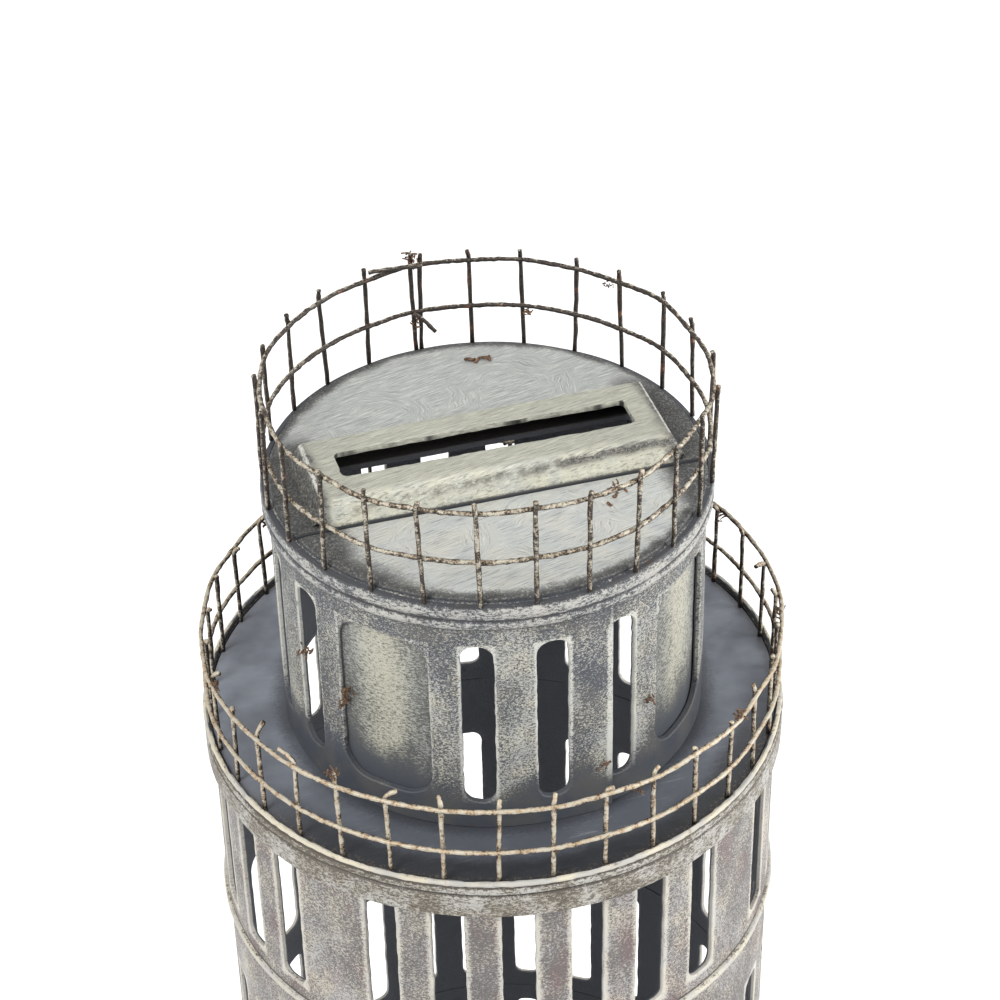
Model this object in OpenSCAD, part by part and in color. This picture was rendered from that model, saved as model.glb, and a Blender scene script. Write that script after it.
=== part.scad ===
// Leaning bell-tower coin bank, built from rolled and pierced sheet metal.
// Millimetres, +Z up. The origin is the centre of the round base, on the surface it stands on.
// The front is -Y, the coin slot runs along X, and the tower leans towards +Y.
// Angles round the tower are counted from the front, towards +X.

/* [Sheet and wire] */
// Thickness of the rolled sheet in every wall, plate and band
sheet = 0.7; // [0.5:0.1:1.0]
// Radius of the railing wires
wire_r = 0.3; // [0.2:0.05:0.35]
// Size of one square cell of the welded railing mesh
mesh_cell = 6.35; // [5:0.05:7.5]
// How far a stake stands above the upper hoop of its railing
stake_tip = 1.7; // [0.5:0.1:2.5]

/* [Base] */
// Radius of the base plate and its skirt
base_r = 55; // [45.5:0.5:66]
// Height of the base plate's top above the ground
base_h = 12; // [10:0.5:16]
// Width of the skirt's turned-in lower flange
flange_w = 8; // [4:0.5:12]
// Radius of the bead wire round the base
bead_r = 0.7; // [0.4:0.1:1.0]
// Radius of a foot pad
pad_r = 3.5; // [2:0.25:3.75]
// Thickness of a foot pad
pad_h = 1.5; // [1:0.25:2.5]

/* [Coin hatch] */
// Distance from the tower's axis to the near edge of the coin-return hole
hole_to_axis = 6; // [5:0.5:8]
// Distance from the coin-return hole's far edge to the ground storey's wall
hole_to_wall = 2.8; // [2:0.1:5]
// How far the hatch laps past the hole all round
hatch_lap = 2.5; // [1.5:0.25:3]
// Width of the hatch's neck and of its finger tab
neck_w = 8; // [6:0.5:10]
// How far the finger tab hangs below the hatch
tab_drop = 3.5; // [2:0.25:4]
// Radius of the rivet that the hatch swivels on
rivet_r = 2; // [1.5:0.25:3]
// Radius of a stop pin
stop_r = 1.5; // [1:0.25:2]
// Angle the hatch swivels from closed to open
hatch_swing = 115; // [95:1:120]
// Running clearance round the rivet
rivet_gap = 0.05; // [0.02:0.01:0.1]
// Gap above and below the hatch, and between the hatch and a stop pin
hatch_gap = 0.2; // [0.1:0.05:0.3]

/* [Tower] */
// Lean of the tower's axis, in degrees
lean = 4; // [0:0.5:5]
// Height of the ground storey
ground_h = 47.5; // [41:0.5:57]
// How far the ground storey stands out from the galleries
ground_step = 0.8; // [0.4:0.1:1.5]
// Height of the foot ring round the ground storey
plinth_h = 3.5; // [2:0.5:6]
// Height of one gallery below the top one
gallery_h = 27.8; // [23.2:0.1:33.4]
// Height of the top gallery
top_gallery_h = 28.7; // [24:0.1:34.5]
// Height of the plain neck of the fifth gallery, under the top one
neck_h = 7; // [4:0.5:10]
// Outer radius of the galleries
gallery_r = 35.4; // [29.5:0.1:42.5]
// Height of the belfry wall
belfry_h = 33.7; // [28:0.1:40.5]
// Outer radius of the belfry wall
belfry_r = 26; // [21.6:0.1:28.4]

/* [Openings in the walls] */
// Number of gallery slots in the front row, between the two wide bars
front_slots = 6; // [3:1:6]
// Number of gallery slots in the row that runs from the right wide bar round the back
back_slots = 15; // [6:1:15]
// Number of gallery slots to the left of the left wide bar
left_slots = 4; // [1:1:4]
// Angle from one gallery slot to the next
slot_pitch = 13.5; // [11:0.5:14]
// Angle between the slots on either side of a wide bar
wide_pitch = 22.5; // [20:0.5:24]
// Width of a gallery slot
slot_w = 4; // [3:0.1:5]
// Solid strip above a gallery slot
slot_head = 3.1; // [3:0.1:6]
// Solid strip below a gallery slot
slot_sill = 2.8; // [1.5:0.1:5]
// Turn of the gallery slots round the tower
gallery_turn = -5; // [-45:1:45]
// Angle from one belfry slot to the next
arch_pitch = 19.3; // [16:0.1:20]
// Width of a belfry slot
arch_w = 3.9; // [3:0.1:4.5]
// Solid strip above the belfry's slots
arch_head = 6.3; // [5:0.1:8]
// Solid strip below the belfry's slots
arch_sill = 4; // [3:0.1:6]
// Width of a blind panel of the belfry
panel_w = 12; // [9:0.5:13]
// Corner radius of a blind panel
panel_corner = 3.5; // [1:0.5:4]
// How far a backing plate laps past its opening
backing_lap = 1.2; // [0.6:0.1:1.6]
// Number of blind arches round the ground storey, the doorway included
blind_arches = 15; // [9:2:17]
// Width of a blind arch
blind_w = 9.6; // [6:0.1:10]
// Height of the blind arches' sill above the base plate
blind_sill = 7; // [5:0.5:10]
// Solid strip above the blind arches
blind_head = 5; // [3:0.5:10]

/* [Bands and railings] */
// Height of the rolled band round the belfry's top
rim_h = 3.4; // [2.5:0.1:5]
// Height of the rolled band round the terrace
terrace_band_h = 4.7; // [3:0.1:6]
// How far the rolled bands stand out from their walls
band_out = 0.8; // [0.6:0.1:1.2]
// How far a joint ring stands out from the galleries
ring_out = 0.6; // [0.3:0.1:0.9]
// Height of the cornice between the ground storey and the galleries
cornice_h = 1.6; // [1:0.1:2.5]
// Angle of the roof railing's first stake, beside its seam at the back
roof_seam = 183.3; // [170:0.1:190]
// Number of stakes in the roof railing
roof_stakes = 26; // [20:1:30]
// Turn of the terrace railing round the tower
terrace_turn = -5; // [-15:0.5:15]
// Number of stakes in the terrace railing
terrace_stakes = 35; // [28:1:40]
// Height of the roof railing's upper hoop above the belfry wall
roof_rail_h = 12.5; // [9:0.1:15]
// Height of the terrace railing's upper hoop above the terrace
terrace_rail_h = 11.6; // [9:0.1:15]

/* [Coin box] */
// Distance from each end of the coin box to the roof's edge, along the box's middle line
box_edge = 3.2; // [2.8:0.1:6]
// Width of the coin box's top
box_w = 12.6; // [11:0.1:14]
// Height of the coin box above the roof
box_h = 3.2; // [2.4:0.1:5]
// How far the coin box spreads from its top to its foot
box_spread = 0.8; // [0.3:0.1:1.2]
// Solid strip of the box's top at each end of the coin slot
coin_end = 3.9; // [3:0.1:6]
// Width of the coin slot
coin_w = 4.9; // [3:0.1:5.4]
// How far the coin slot lies behind the box's middle line
coin_shift = 0.4; // [0:0.1:0.8]
// Width of the gap between the roof's two plates
seam_gap = 0.3; // [0.2:0.05:0.5]
// Distance from each end of the box's top to the roof's opening below it
hole_end = 2.7; // [2:0.1:4]
// Width of the opening in the roof below the coin box
roof_hole_w = 8; // [6:0.1:10]

/* [Hidden] */
$fn = 96;
wire_facets = 24;

galleries = 6;
groups = 4;
group_angle = 360 / groups;
back_squeeze = 0.2;
cut_over = 1;

// Heights along the tower's own axis, from the base plate's top
terrace_z = ground_h + (galleries - 1) * gallery_h + neck_h + top_gallery_h;
belfry_top = terrace_z + belfry_h;
roof_top = belfry_top + sheet;

// Heights of the openings, and how far the base plate's rim lies below the tower's own level
blind_h = ground_h - cornice_h - blind_sill - blind_head;
slot_h = gallery_h - slot_head - slot_sill;
arch_h = belfry_h - arch_head - arch_sill;
tower_dip = base_r * sin(lean);

// Radii
belfry_in = belfry_r - sheet;
gallery_in = gallery_r - sheet;
ground_r = gallery_r + ground_step;
liner_r = ground_r - sheet;
liner_in = liner_r - sheet;
roof_inset = 0.3;
roof_r = belfry_r - roof_inset;
pivot_head_r = 2 * rivet_r;
hole_r = (liner_in - hole_to_wall - hole_to_axis) / 2;
hole_offset = hole_to_axis + hole_r;
hatch_r = hole_r + hatch_lap;

// Railings: the roof's stakes stand outside its hoops, the terrace's inside
weld_depth = 0.1;
seam_clear = 0.1;
wire_step = 2 * wire_r - weld_depth;
roof_stake_r = belfry_r + band_out - wire_r;
roof_hoop_r = roof_stake_r - wire_step;
seam_lap = 2 * asin((2 * wire_r + seam_clear) / (2 * roof_stake_r));
terrace_stake_r = gallery_r - wire_r;
terrace_hoop_r = terrace_stake_r + wire_step;
lip_r = 0.4;
lip_over = 0.1;
band_groove = 0.25;
groove_drop = 1.2;
box_bend = 1;
coin_corner = 0.8;
door_gap = 0.3;
door_lift = 0.2;
door_t = sheet - door_lift;
knob_ratio = 0.8;
knob_r = knob_ratio * door_t;
cornice_out = 1;
plinth_out = 1.4;

// The coin box: its foot, its top and the openings that follow from them
box_foot_w = box_w + 2 * box_spread;
box_l = 2 * (roof_r - box_edge - box_spread);
coin_l = box_l - 2 * coin_end;
roof_hole_l = box_l - 2 * hole_end;
seam_y = -box_foot_w / 2 - seam_gap;

// Heights of the hatch and its rivet under the base plate
plate_under = base_h - sheet;
hatch_top = plate_under - hatch_gap;
hatch_low = hatch_top - sheet;
stop_angle = 2 * asin((hatch_r + stop_r + hatch_gap) / (2 * hole_offset));

steel = [0.36, 0.37, 0.40];
slate = [0.27, 0.29, 0.33];
cream = [0.66, 0.65, 0.58];
grey_cream = [0.58, 0.57, 0.53];
wire_brown = [0.47, 0.42, 0.36];
felt = [0.16, 0.15, 0.15];
bronze = [0.50, 0.42, 0.30];

// ---- Helpers ----

// A piece of the leaning tower, drawn along the tower's own axis
module leaning()
    translate([0, 0, base_h]) rotate([-lean, 0, 0]) children();

// A leaning piece cut off flat where it meets the base plate
module leaning_on_plate(h_below)
    difference() {
        leaning() children();
        translate([0, 0, base_h - h_below]) cylinder(r = base_r, h = h_below);
    }

module tube(r_out, r_in, z, h)
    translate([0, 0, z]) difference() {
        cylinder(r = r_out, h = h);
        translate([0, 0, -cut_over]) cylinder(r = r_in, h = h + 2 * cut_over);
    }

module hoop(r, wire, z)
    translate([0, 0, z]) rotate_extrude() translate([r, 0]) circle(r = wire, $fn = wire_facets);

// Flat outline of a slot with round ends, standing up, its lower end at y = 0
module slot_outline(w, h) {
    translate([-w / 2, w / 2]) square([w, h - w]);
    translate([0, w / 2]) circle(d = w);
    translate([0, h - w / 2]) circle(d = w);
}

// Flat outline of a panel with round corners, its lower edge at y = 0
module panel_outline(w, h, r) {
    translate([-w / 2, r]) square([w, h - 2 * r]);
    translate([-w / 2 + r, 0]) square([w - 2 * r, h]);
    for (x = [-1, 1], y = [r, h - r]) translate([x * (w / 2 - r), y]) circle(r = r);
}

// Flat outline of an arch with a square foot, its foot at y = 0
module arch_outline(w, h) {
    translate([-w / 2, 0]) square([w, h - w / 2]);
    translate([0, h - w / 2]) circle(d = w);
}

// Pushes an outline out through a wall of one sheet, at one angle
module through_wall(angle, z, r_wall)
    rotate([0, 0, angle]) translate([0, -r_wall + sheet + cut_over, z]) rotate([90, 0, 0])
        linear_extrude(height = sheet + 2 * cut_over) children();

module stakes(count, first, pitch, r, z, h)
    for (i = [0 : count - 1])
        rotate([0, 0, first + i * pitch]) translate([0, -r, z])
            cylinder(r = wire_r, h = h, $fn = wire_facets);

// ---- Base ----

module foot_pads()
    color(felt) for (a = [45 : 90 : 315])
        rotate([0, 0, a]) translate([0, -(base_r - flange_w / 2), 0]) cylinder(r = pad_r, h = pad_h);

module base_skirt()
    color(slate) {
        tube(base_r, base_r - sheet, pad_h, plate_under - pad_h);
        tube(base_r - sheet, base_r - flange_w, pad_h, sheet);
    }

module base_edge_wire()
    color(steel) hoop(base_r + bead_r, bead_r, base_h - bead_r);

module base_plate()
    color(slate) difference() {
        translate([0, 0, plate_under]) cylinder(r = base_r, h = sheet);
        translate([0, -hole_offset, plate_under - cut_over]) cylinder(r = hole_r, h = sheet + 2 * cut_over);
        translate([0, 0, plate_under - cut_over]) cylinder(r = rivet_r, h = sheet + 2 * cut_over);
    }

// ---- Coin hatch ----

module coin_hatch()
    color(steel) {
        difference() {
            union() {
                translate([0, -hole_offset, hatch_low]) cylinder(r = hatch_r, h = sheet);
                translate([0, 0, hatch_low]) cylinder(r = neck_w / 2, h = sheet);
                translate([-neck_w / 2, -hole_offset, hatch_low]) cube([neck_w, hole_offset, sheet]);
            }
            translate([0, 0, hatch_low - cut_over])
                cylinder(r = rivet_r + rivet_gap, h = sheet + 2 * cut_over);
        }
        translate([-neck_w / 2, -(hole_offset + hatch_r - 2 * sheet), hatch_low - tab_drop])
            cube([neck_w, sheet, tab_drop]);
    }

module hatch_rivet()
    color(bronze) {
        translate([0, 0, hatch_low - hatch_gap]) cylinder(r = rivet_r, h = base_h - hatch_low + hatch_gap);
        translate([0, 0, hatch_low - hatch_gap - sheet]) cylinder(r = pivot_head_r, h = sheet);
        translate([0, 0, base_h]) cylinder(r = pivot_head_r, h = sheet);
    }

module hatch_stops()
    color(bronze) for (a = [-stop_angle, hatch_swing + stop_angle])
        rotate([0, 0, a]) translate([0, -hole_offset, hatch_low - sheet])
            cylinder(r = stop_r, h = plate_under - hatch_low + sheet);

// ---- Ground storey ----

module plinth_ring()
    color(grey_cream) leaning_on_plate(2 * tower_dip + sheet)
        tube(ground_r + plinth_out, ground_r, -tower_dip, plinth_h + tower_dip);

module ground_drum()
    color(grey_cream) leaning_on_plate(2 * tower_dip + sheet) difference() {
        tube(ground_r, liner_r, -tower_dip, ground_h - cornice_h + tower_dip);
        for (i = [0 : blind_arches - 1])
            through_wall(i * 360 / blind_arches, blind_sill, ground_r)
                arch_outline(blind_w, blind_h);
    }

module ground_liner()
    color(slate) leaning_on_plate(2 * tower_dip + sheet)
        tube(liner_r, liner_in, -tower_dip, ground_h - cornice_h + tower_dip);

// The knob is smaller than the door is thick, so it stays clear of the liner behind it
module ground_door()
    color(bronze) leaning() {
        intersection() {
            tube(liner_r + door_t, liner_r, blind_sill, blind_h);
            through_wall(0, blind_sill, ground_r)
                arch_outline(blind_w - 2 * door_gap, blind_h - door_gap);
        }
        translate([blind_w / 4, -(liner_r + door_t), blind_sill + blind_h / 2])
            sphere(r = knob_r, $fn = wire_facets);
    }

module ground_cornice()
    color(cream) leaning()
        tube(ground_r + cornice_out, liner_in, ground_h - cornice_h, cornice_h);

// ---- Galleries ----

function gallery_base(i) = ground_h + (i - 1) * gallery_h + (i == galleries ? neck_h : 0);

function gallery_height(i) =
    i == galleries ? top_gallery_h - sheet : (i == galleries - 1 ? gallery_h + neck_h : gallery_h);

// Angles of the slots: the front row, then the rows to its right and left. The drum's seam is
// in the plain strip between those two, at the back on the left.
front_half = (front_slots - 1) / 2 * slot_pitch;
slot_angles = concat(
    [for (k = [0 : front_slots - 1]) gallery_turn - front_half + k * slot_pitch],
    [for (k = [0 : back_slots - 1])
        gallery_turn + front_half + wide_pitch + k * (slot_pitch - back_squeeze)],
    [for (k = [0 : left_slots - 1]) gallery_turn - front_half - wide_pitch - k * slot_pitch]);

// The top gallery is shorter by the terrace plate that lies on it
module gallery_drum(i)
    color(grey_cream) leaning() difference() {
        tube(gallery_r, gallery_in, gallery_base(i), gallery_height(i));
        for (a = slot_angles)
            through_wall(a, gallery_base(i) + slot_sill, gallery_r) slot_outline(slot_w, slot_h);
    }

// Half-round bead over the joint between two galleries
module joint_ring(i)
    color(cream) leaning() translate([0, 0, gallery_base(i + 1)])
        rotate_extrude() translate([gallery_r, 0]) intersection() {
            circle(r = ring_out, $fn = wire_facets);
            translate([0, -ring_out]) square([ring_out, 2 * ring_out]);
        }

// ---- Terrace ----

module terrace_plate()
    color(slate) leaning() tube(gallery_r, belfry_in, terrace_z - sheet, sheet);

// Profile of a rolled band: a flat strip with one groove near its top
module band_profile(h, groove_z)
    difference() {
        square([band_out, h]);
        translate([band_out, groove_z]) circle(r = band_groove, $fn = wire_facets);
    }

module terrace_band()
    color(cream) leaning() translate([0, 0, terrace_z - terrace_band_h])
        rotate_extrude() translate([gallery_r, 0]) band_profile(terrace_band_h, terrace_band_h - groove_drop);

module terrace_lip_wire()
    color(cream) leaning() hoop(gallery_r + band_out - lip_r + lip_over, lip_r, terrace_z + lip_r);

module terrace_rail_hoops()
    color(wire_brown) leaning() for (drop = [0, mesh_cell])
        hoop(terrace_hoop_r, wire_r, terrace_z + terrace_rail_h - drop);

module terrace_rail_stakes()
    color(wire_brown) leaning()
        stakes(terrace_stakes, terrace_turn, 360 / terrace_stakes,
            terrace_stake_r, terrace_z, terrace_rail_h + stake_tip);

// ---- Belfry ----

module belfry_wall()
    color(grey_cream) leaning() difference() {
        tube(belfry_r, belfry_in, terrace_z, belfry_h);
        for (g = [0 : groups - 1], k = [-1 : 1])
            through_wall(g * group_angle + k * arch_pitch, terrace_z + arch_sill, belfry_r)
                slot_outline(arch_w, arch_h);
        for (g = [0 : groups - 1])
            through_wall((g + 0.5) * group_angle, terrace_z + arch_sill, belfry_r)
                panel_outline(panel_w, arch_h, panel_corner);
    }

module belfry_panels()
    color(grey_cream) leaning() intersection() {
        tube(belfry_in, belfry_in - sheet, terrace_z + arch_sill - backing_lap, arch_h + 2 * backing_lap);
        for (g = [0 : groups - 1])
            through_wall((g + 0.5) * group_angle, terrace_z, belfry_in)
                translate([-panel_w / 2 - backing_lap, 0]) square([panel_w + 2 * backing_lap, belfry_h]);
    }

module belfry_rim_band()
    color(cream) leaning() translate([0, 0, belfry_top - rim_h])
        rotate_extrude() translate([belfry_r, 0]) band_profile(rim_h, rim_h / 2);

// ---- Roof ----

module roof_opening()
    translate([-roof_hole_l / 2, -roof_hole_w / 2, belfry_top - cut_over])
        cube([roof_hole_l, roof_hole_w, sheet + 2 * cut_over]);

module roof_disc()
    color(cream) leaning() difference() {
        translate([0, 0, belfry_top]) cylinder(r = roof_r, h = sheet);
        roof_opening();
        translate([-roof_r, -2 * roof_r + seam_y + seam_gap, belfry_top - cut_over])
            cube([2 * roof_r, 2 * roof_r, sheet + 2 * cut_over]);
    }

module roof_front_plate()
    color(cream) leaning() difference() {
        translate([0, 0, belfry_top]) cylinder(r = roof_r, h = sheet);
        translate([-roof_r, seam_y, belfry_top - cut_over])
            cube([2 * roof_r, 2 * roof_r, sheet + 2 * cut_over]);
    }

// End view of the box: sloping sides and rounded bends, its foot at y = 0
module box_outline(top_w, h, bend) {
    foot = top_w / 2 + box_spread;
    top = top_w / 2;
    polygon([[-foot, 0], [foot, 0], [top, h - bend], [top - bend, h], [bend - top, h], [-top, h - bend]]);
    for (side = [-1, 1]) translate([side * (top - bend), h - bend]) circle(r = bend);
}

// Block that slopes in on all four sides
module box_block(l, w, h)
    intersection() {
        rotate([90, 0, 90]) linear_extrude(height = l + 4 * box_spread, center = true)
            box_outline(w, h, box_bend);
        rotate([90, 0, 0]) linear_extrude(height = w + 4 * box_spread, center = true)
            box_outline(l, h, box_bend);
    }

module coin_box()
    color(cream) leaning() translate([0, 0, roof_top]) difference() {
        box_block(box_l, box_w, box_h);
        translate([0, 0, -cut_over])
            box_block(box_l - 2 * sheet, box_w - 2 * sheet, box_h - sheet + cut_over);
        linear_extrude(height = box_h + cut_over) translate([0, coin_shift - coin_w / 2])
            panel_outline(coin_l, coin_w, coin_corner);
    }

module roof_rail_hoops()
    color(wire_brown) leaning() for (drop = [0, mesh_cell + wire_r])
        hoop(roof_hoop_r, wire_r, belfry_top + roof_rail_h - drop);

// The strip's two end stakes stand side by side at the seam
module roof_rail_stakes()
    color(wire_brown) leaning()
        stakes(roof_stakes, roof_seam, (360 - seam_lap) / (roof_stakes - 1),
            roof_stake_r, belfry_top, roof_rail_h + stake_tip);

foot_pads();
base_skirt();
base_edge_wire();
base_plate();
coin_hatch();
hatch_rivet();
hatch_stops();
plinth_ring();
ground_drum();
ground_liner();
ground_door();
ground_cornice();
gallery_drum(1);  // gallery_drum_1
gallery_drum(2);  // gallery_drum_2
gallery_drum(3);  // gallery_drum_3
gallery_drum(4);  // gallery_drum_4
gallery_drum(5);  // gallery_drum_5
gallery_drum(6);  // gallery_drum_6
joint_ring(1);  // joint_ring_1
joint_ring(2);  // joint_ring_2
joint_ring(3);  // joint_ring_3
joint_ring(4);  // joint_ring_4
joint_ring(5);  // joint_ring_5
terrace_plate();
terrace_band();
terrace_lip_wire();
terrace_rail_hoops();
terrace_rail_stakes();
belfry_wall();
belfry_panels();
belfry_rim_band();
roof_disc();
roof_front_plate();
coin_box();
roof_rail_hoops();
roof_rail_stakes();
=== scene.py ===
# %% [markdown]
# # A leaning bell tower in brushed sheet metal
# The object is a coin bank in the shape of a leaning bell tower. A tinsmith would make it from rolled
# and pierced sheet, with railings of welded wire mesh, and then rub thin cream paint over dark slate.
# The CAD model already fixes every size. This lesson reads its radii and levels from there. The layout
# of the openings and stakes is typed in again, with the CAD model's own values. What the CAD model
# leaves out is added here: ragged cut edges, bent wires, brush strokes, grime and wear.

# %% Open the frame
import math
from types import SimpleNamespace

import bpy
import numpy as np
from mathutils import Matrix, Vector, geometry, kdtree, noise


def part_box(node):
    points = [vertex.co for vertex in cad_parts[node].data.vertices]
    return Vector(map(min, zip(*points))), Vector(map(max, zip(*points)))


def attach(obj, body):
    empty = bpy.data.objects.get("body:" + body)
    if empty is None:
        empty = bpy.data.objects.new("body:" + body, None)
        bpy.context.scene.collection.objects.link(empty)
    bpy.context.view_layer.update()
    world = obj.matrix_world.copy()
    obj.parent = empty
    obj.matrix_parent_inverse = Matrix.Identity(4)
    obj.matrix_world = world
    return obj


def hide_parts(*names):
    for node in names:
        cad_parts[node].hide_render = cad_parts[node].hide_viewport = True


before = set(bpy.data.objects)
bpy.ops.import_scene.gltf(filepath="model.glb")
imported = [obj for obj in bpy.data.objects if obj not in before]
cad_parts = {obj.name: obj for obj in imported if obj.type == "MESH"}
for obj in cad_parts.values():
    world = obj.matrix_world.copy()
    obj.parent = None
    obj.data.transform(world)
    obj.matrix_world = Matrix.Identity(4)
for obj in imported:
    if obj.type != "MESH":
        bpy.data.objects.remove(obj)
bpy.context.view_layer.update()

# %% [markdown]
# ## The tower's own axes
# The tower leans, which would make every ring a tilted ring. It is easier to build each piece upright
# and lean the finished piece. The centres of two joint rings give the axis, so the lean comes from the
# frame and isn't typed in again. Inside this script lengths are in millimetres.

# %% The tower's own axes
MM = 0.001  # one millimetre in metres


def middle_of(node):
    low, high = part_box(node)
    return (low + high) / 2


tower_axis = (middle_of("joint_ring_5") - middle_of("joint_ring_1")).normalized()
LEAN = math.atan2(tower_axis.y, tower_axis.z)
BASE_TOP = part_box("base_plate")[1].z
TOWER = Matrix.Translation((0, 0, BASE_TOP)) @ Matrix.Rotation(-LEAN, 4, "X")
UPRIGHT = Matrix.Identity(4)
print("the tower leans", round(math.degrees(LEAN), 2), "degrees")

# %% [markdown]
# ## Reading levels and radii
# A round piece needs four numbers: its two ends and its two radii. Moving a node's points into the
# tower's own axes gives all four, which is safer than copying numbers from another file.

# %% Reading levels and radii


def span(node, place=TOWER):
    points = np.array([corner.co[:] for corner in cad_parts[node].data.vertices])
    back = np.array(place.inverted())
    local = (points @ back[:3, :3].T + back[:3, 3]) / MM
    radii = np.hypot(local[:, 0], local[:, 1])
    return SimpleNamespace(low=local[:, 2].min(), high=local[:, 2].max(),
                           inner=radii.min(), outer=radii.max(), points=local)


belfry = span("belfry_wall")
terrace = span("terrace_plate")
gallery_top = span("gallery_drum_6")
gallery_low = span("gallery_drum_1")
ground = span("ground_drum")
liner = span("ground_liner")
roof = span("roof_disc")
SHEET = roof.high - roof.low
GALLERY_H = gallery_low.high - gallery_low.low
GALLERY_R = gallery_top.outer
BELFRY_R = belfry.outer
print("sheet", round(SHEET, 2), "mm; gallery", round(GALLERY_H, 2), "mm high; belfry",
      round(BELFRY_R, 2), "mm radius")

# %% [markdown]
# ## Gathering a shape
# Many pieces hold dozens of wires or strips. A small bag of points and faces lets one function add a
# wire and another function turn the whole bag into a Blender object. Building the lists directly is
# quick and always gives the same result, where operators depend on what is selected.

# %% Gathering a shape


class Shape:
    """Points in millimetres and the faces between them."""

    def __init__(self):
        self.points = []
        self.faces = []
        self.count = 0

    def add(self, points, faces):
        points = np.asarray(points, float)
        self.points.append(points)
        self.faces += [[corner + self.count for corner in face] for face in faces]
        self.count += len(points)


def make_piece(name, shape, finish, stands_for=(), body="tower", place=TOWER, crease=38):
    mesh = bpy.data.meshes.new(name)
    mesh.from_pydata((np.vstack(shape.points) * MM).tolist(), [], shape.faces)
    mesh.shade_smooth()
    mesh.set_sharp_from_angle(angle=math.radians(crease))
    mesh.materials.append(finish)
    piece = bpy.data.objects.new(name, mesh)
    bpy.context.scene.collection.objects.link(piece)
    piece.matrix_world = place
    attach(piece, body)
    if stands_for:
        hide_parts(*stands_for)
    print(f"{name}: {len(mesh.vertices)} points, {len(mesh.polygons)} faces")
    return piece


# %% [markdown]
# ## The unsteady hand
# Nothing on a hand-made piece is quite straight. Perlin noise is smooth and repeatable: the same place
# always gives the same value, so the model comes out the same on every run.

# %% The unsteady hand


def ripple(x, y=0.0, z=0.0, size=1.0):
    return noise.noise(Vector((x / size + 0.37, y / size + 0.71, z / size + 0.13)))


def ripples(points, size):
    return np.array([ripple(*point, size=size) for point in points])


# %% [markdown]
# ## Drawing a wire
# A curve object with a bevel would make a wire, but here each wire is lumpy with paint. So the wire is
# swept by hand: a ring of points is carried along the path without twisting, and each ring's radius
# swells and shrinks a little. Open ends get a small rounded cap.

# %% Drawing a wire


def add_wire(shape, path, radius, closed=False, sides=8, lumps=0.1):
    path = np.asarray(path, float)
    ahead = np.roll(path, -1, 0) - np.roll(path, 1, 0) if closed else np.gradient(path, axis=0)
    ahead /= np.linalg.norm(ahead, axis=1)[:, None]
    side = np.cross(ahead[0], (0.31, 0.87, 0.38))
    if closed:
        side = np.array((0.0, 0.0, 1.0))
    turns = np.linspace(0, 2 * math.pi, sides, endpoint=False)
    points = []
    for spot, forward in zip(path, ahead):
        side = side - forward * np.dot(side, forward)
        side /= np.linalg.norm(side)
        up = np.cross(forward, side)
        for turn in turns:
            out = math.cos(turn) * side + math.sin(turn) * up
            swell = 1 + lumps * ripple(*(spot + out * radius), size=0.55)
            points.append(spot + out * radius * swell)
    rings = len(path)
    faces = []
    for ring in range(rings if closed else rings - 1):
        here, there = ring * sides, (ring + 1) % rings * sides
        faces += [(here + k, here + (k + 1) % sides, there + (k + 1) % sides, there + k)
                  for k in range(sides)]
    if not closed:
        for ring, forward in ((0, -ahead[0]), (rings - 1, ahead[-1])):
            tip = len(points)
            points.append(path[ring] + forward * radius * 0.45)
            start = ring * sides
            order = [(start + k, start + (k + 1) % sides, tip) for k in range(sides)]
            faces += [face[::-1] for face in order] if ring == 0 else order
    shape.add(points, faces)


# %% [markdown]
# ## Turning a ring
# Bands, beads and cornices are the same section carried once round the axis, as on a lathe. Blender's
# Screw modifier does this too. Doing it here lets the section wander in and out as it goes round.

# %% Turning a ring


def add_turned(shape, section, steps=240, waver=0.0, seed=0.0):
    section = np.asarray(section, float)
    points = []
    for step in range(steps):
        turn = 2 * math.pi * step / steps
        for number, (radius, level) in enumerate(section):
            east, north = math.sin(turn), -math.cos(turn)
            out = waver * ripple(radius * east, radius * north, level * 3 + seed, size=5.0)
            up = waver * ripple(radius * east, radius * north, seed + 40 + number * 0.2, size=7.0)
            points.append(((radius + out) * east, (radius + out) * north, level + up))
    size = len(section)
    faces = []
    for step in range(steps):
        here, there = step * size, (step + 1) % steps * size
        faces += [(here + k, there + k, there + (k + 1) % size, here + (k + 1) % size) for k in range(size)]
    shape.add(points, faces)


# %% [markdown]
# ## Cutting a sheet
# Every wall and plate starts as a flat sheet with holes cut in it, and is then bent. The recipe copies
# the workshop: draw the outline and the holes as closed loops, roughen them as tin snips would, fill
# the space between them with triangles, and bend the result. A boolean on a finished cylinder would
# leave long thin faces along each cut, which shade badly. A second loop just inside each cut edge lets
# the edge roll over a tenth of a millimetre, and that small round is what catches the light.

# %% Loops for outlines and holes


def spaced(corners, step):
    corners = np.asarray(corners, float)
    loop = []
    for here, there in zip(corners, np.roll(corners, -1, 0)):
        count = max(1, math.ceil(np.linalg.norm(there - here) / step))
        loop += [here + (there - here) * k / count for k in range(count)]
    return np.array(loop)


def round_box(x, y, width, height, corner, step=0.45):
    corners = []
    for quarter, (side, end) in enumerate(((1, 1), (-1, 1), (-1, -1), (1, -1))):
        centre = (x + side * (width / 2 - corner), y + end * (height / 2 - corner))
        for angle in np.radians(np.linspace(90 * quarter, 90 * quarter + 90, 7)):
            corners.append((centre[0] + corner * math.cos(angle), centre[1] + corner * math.sin(angle)))
    return spaced(corners, step)


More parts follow.
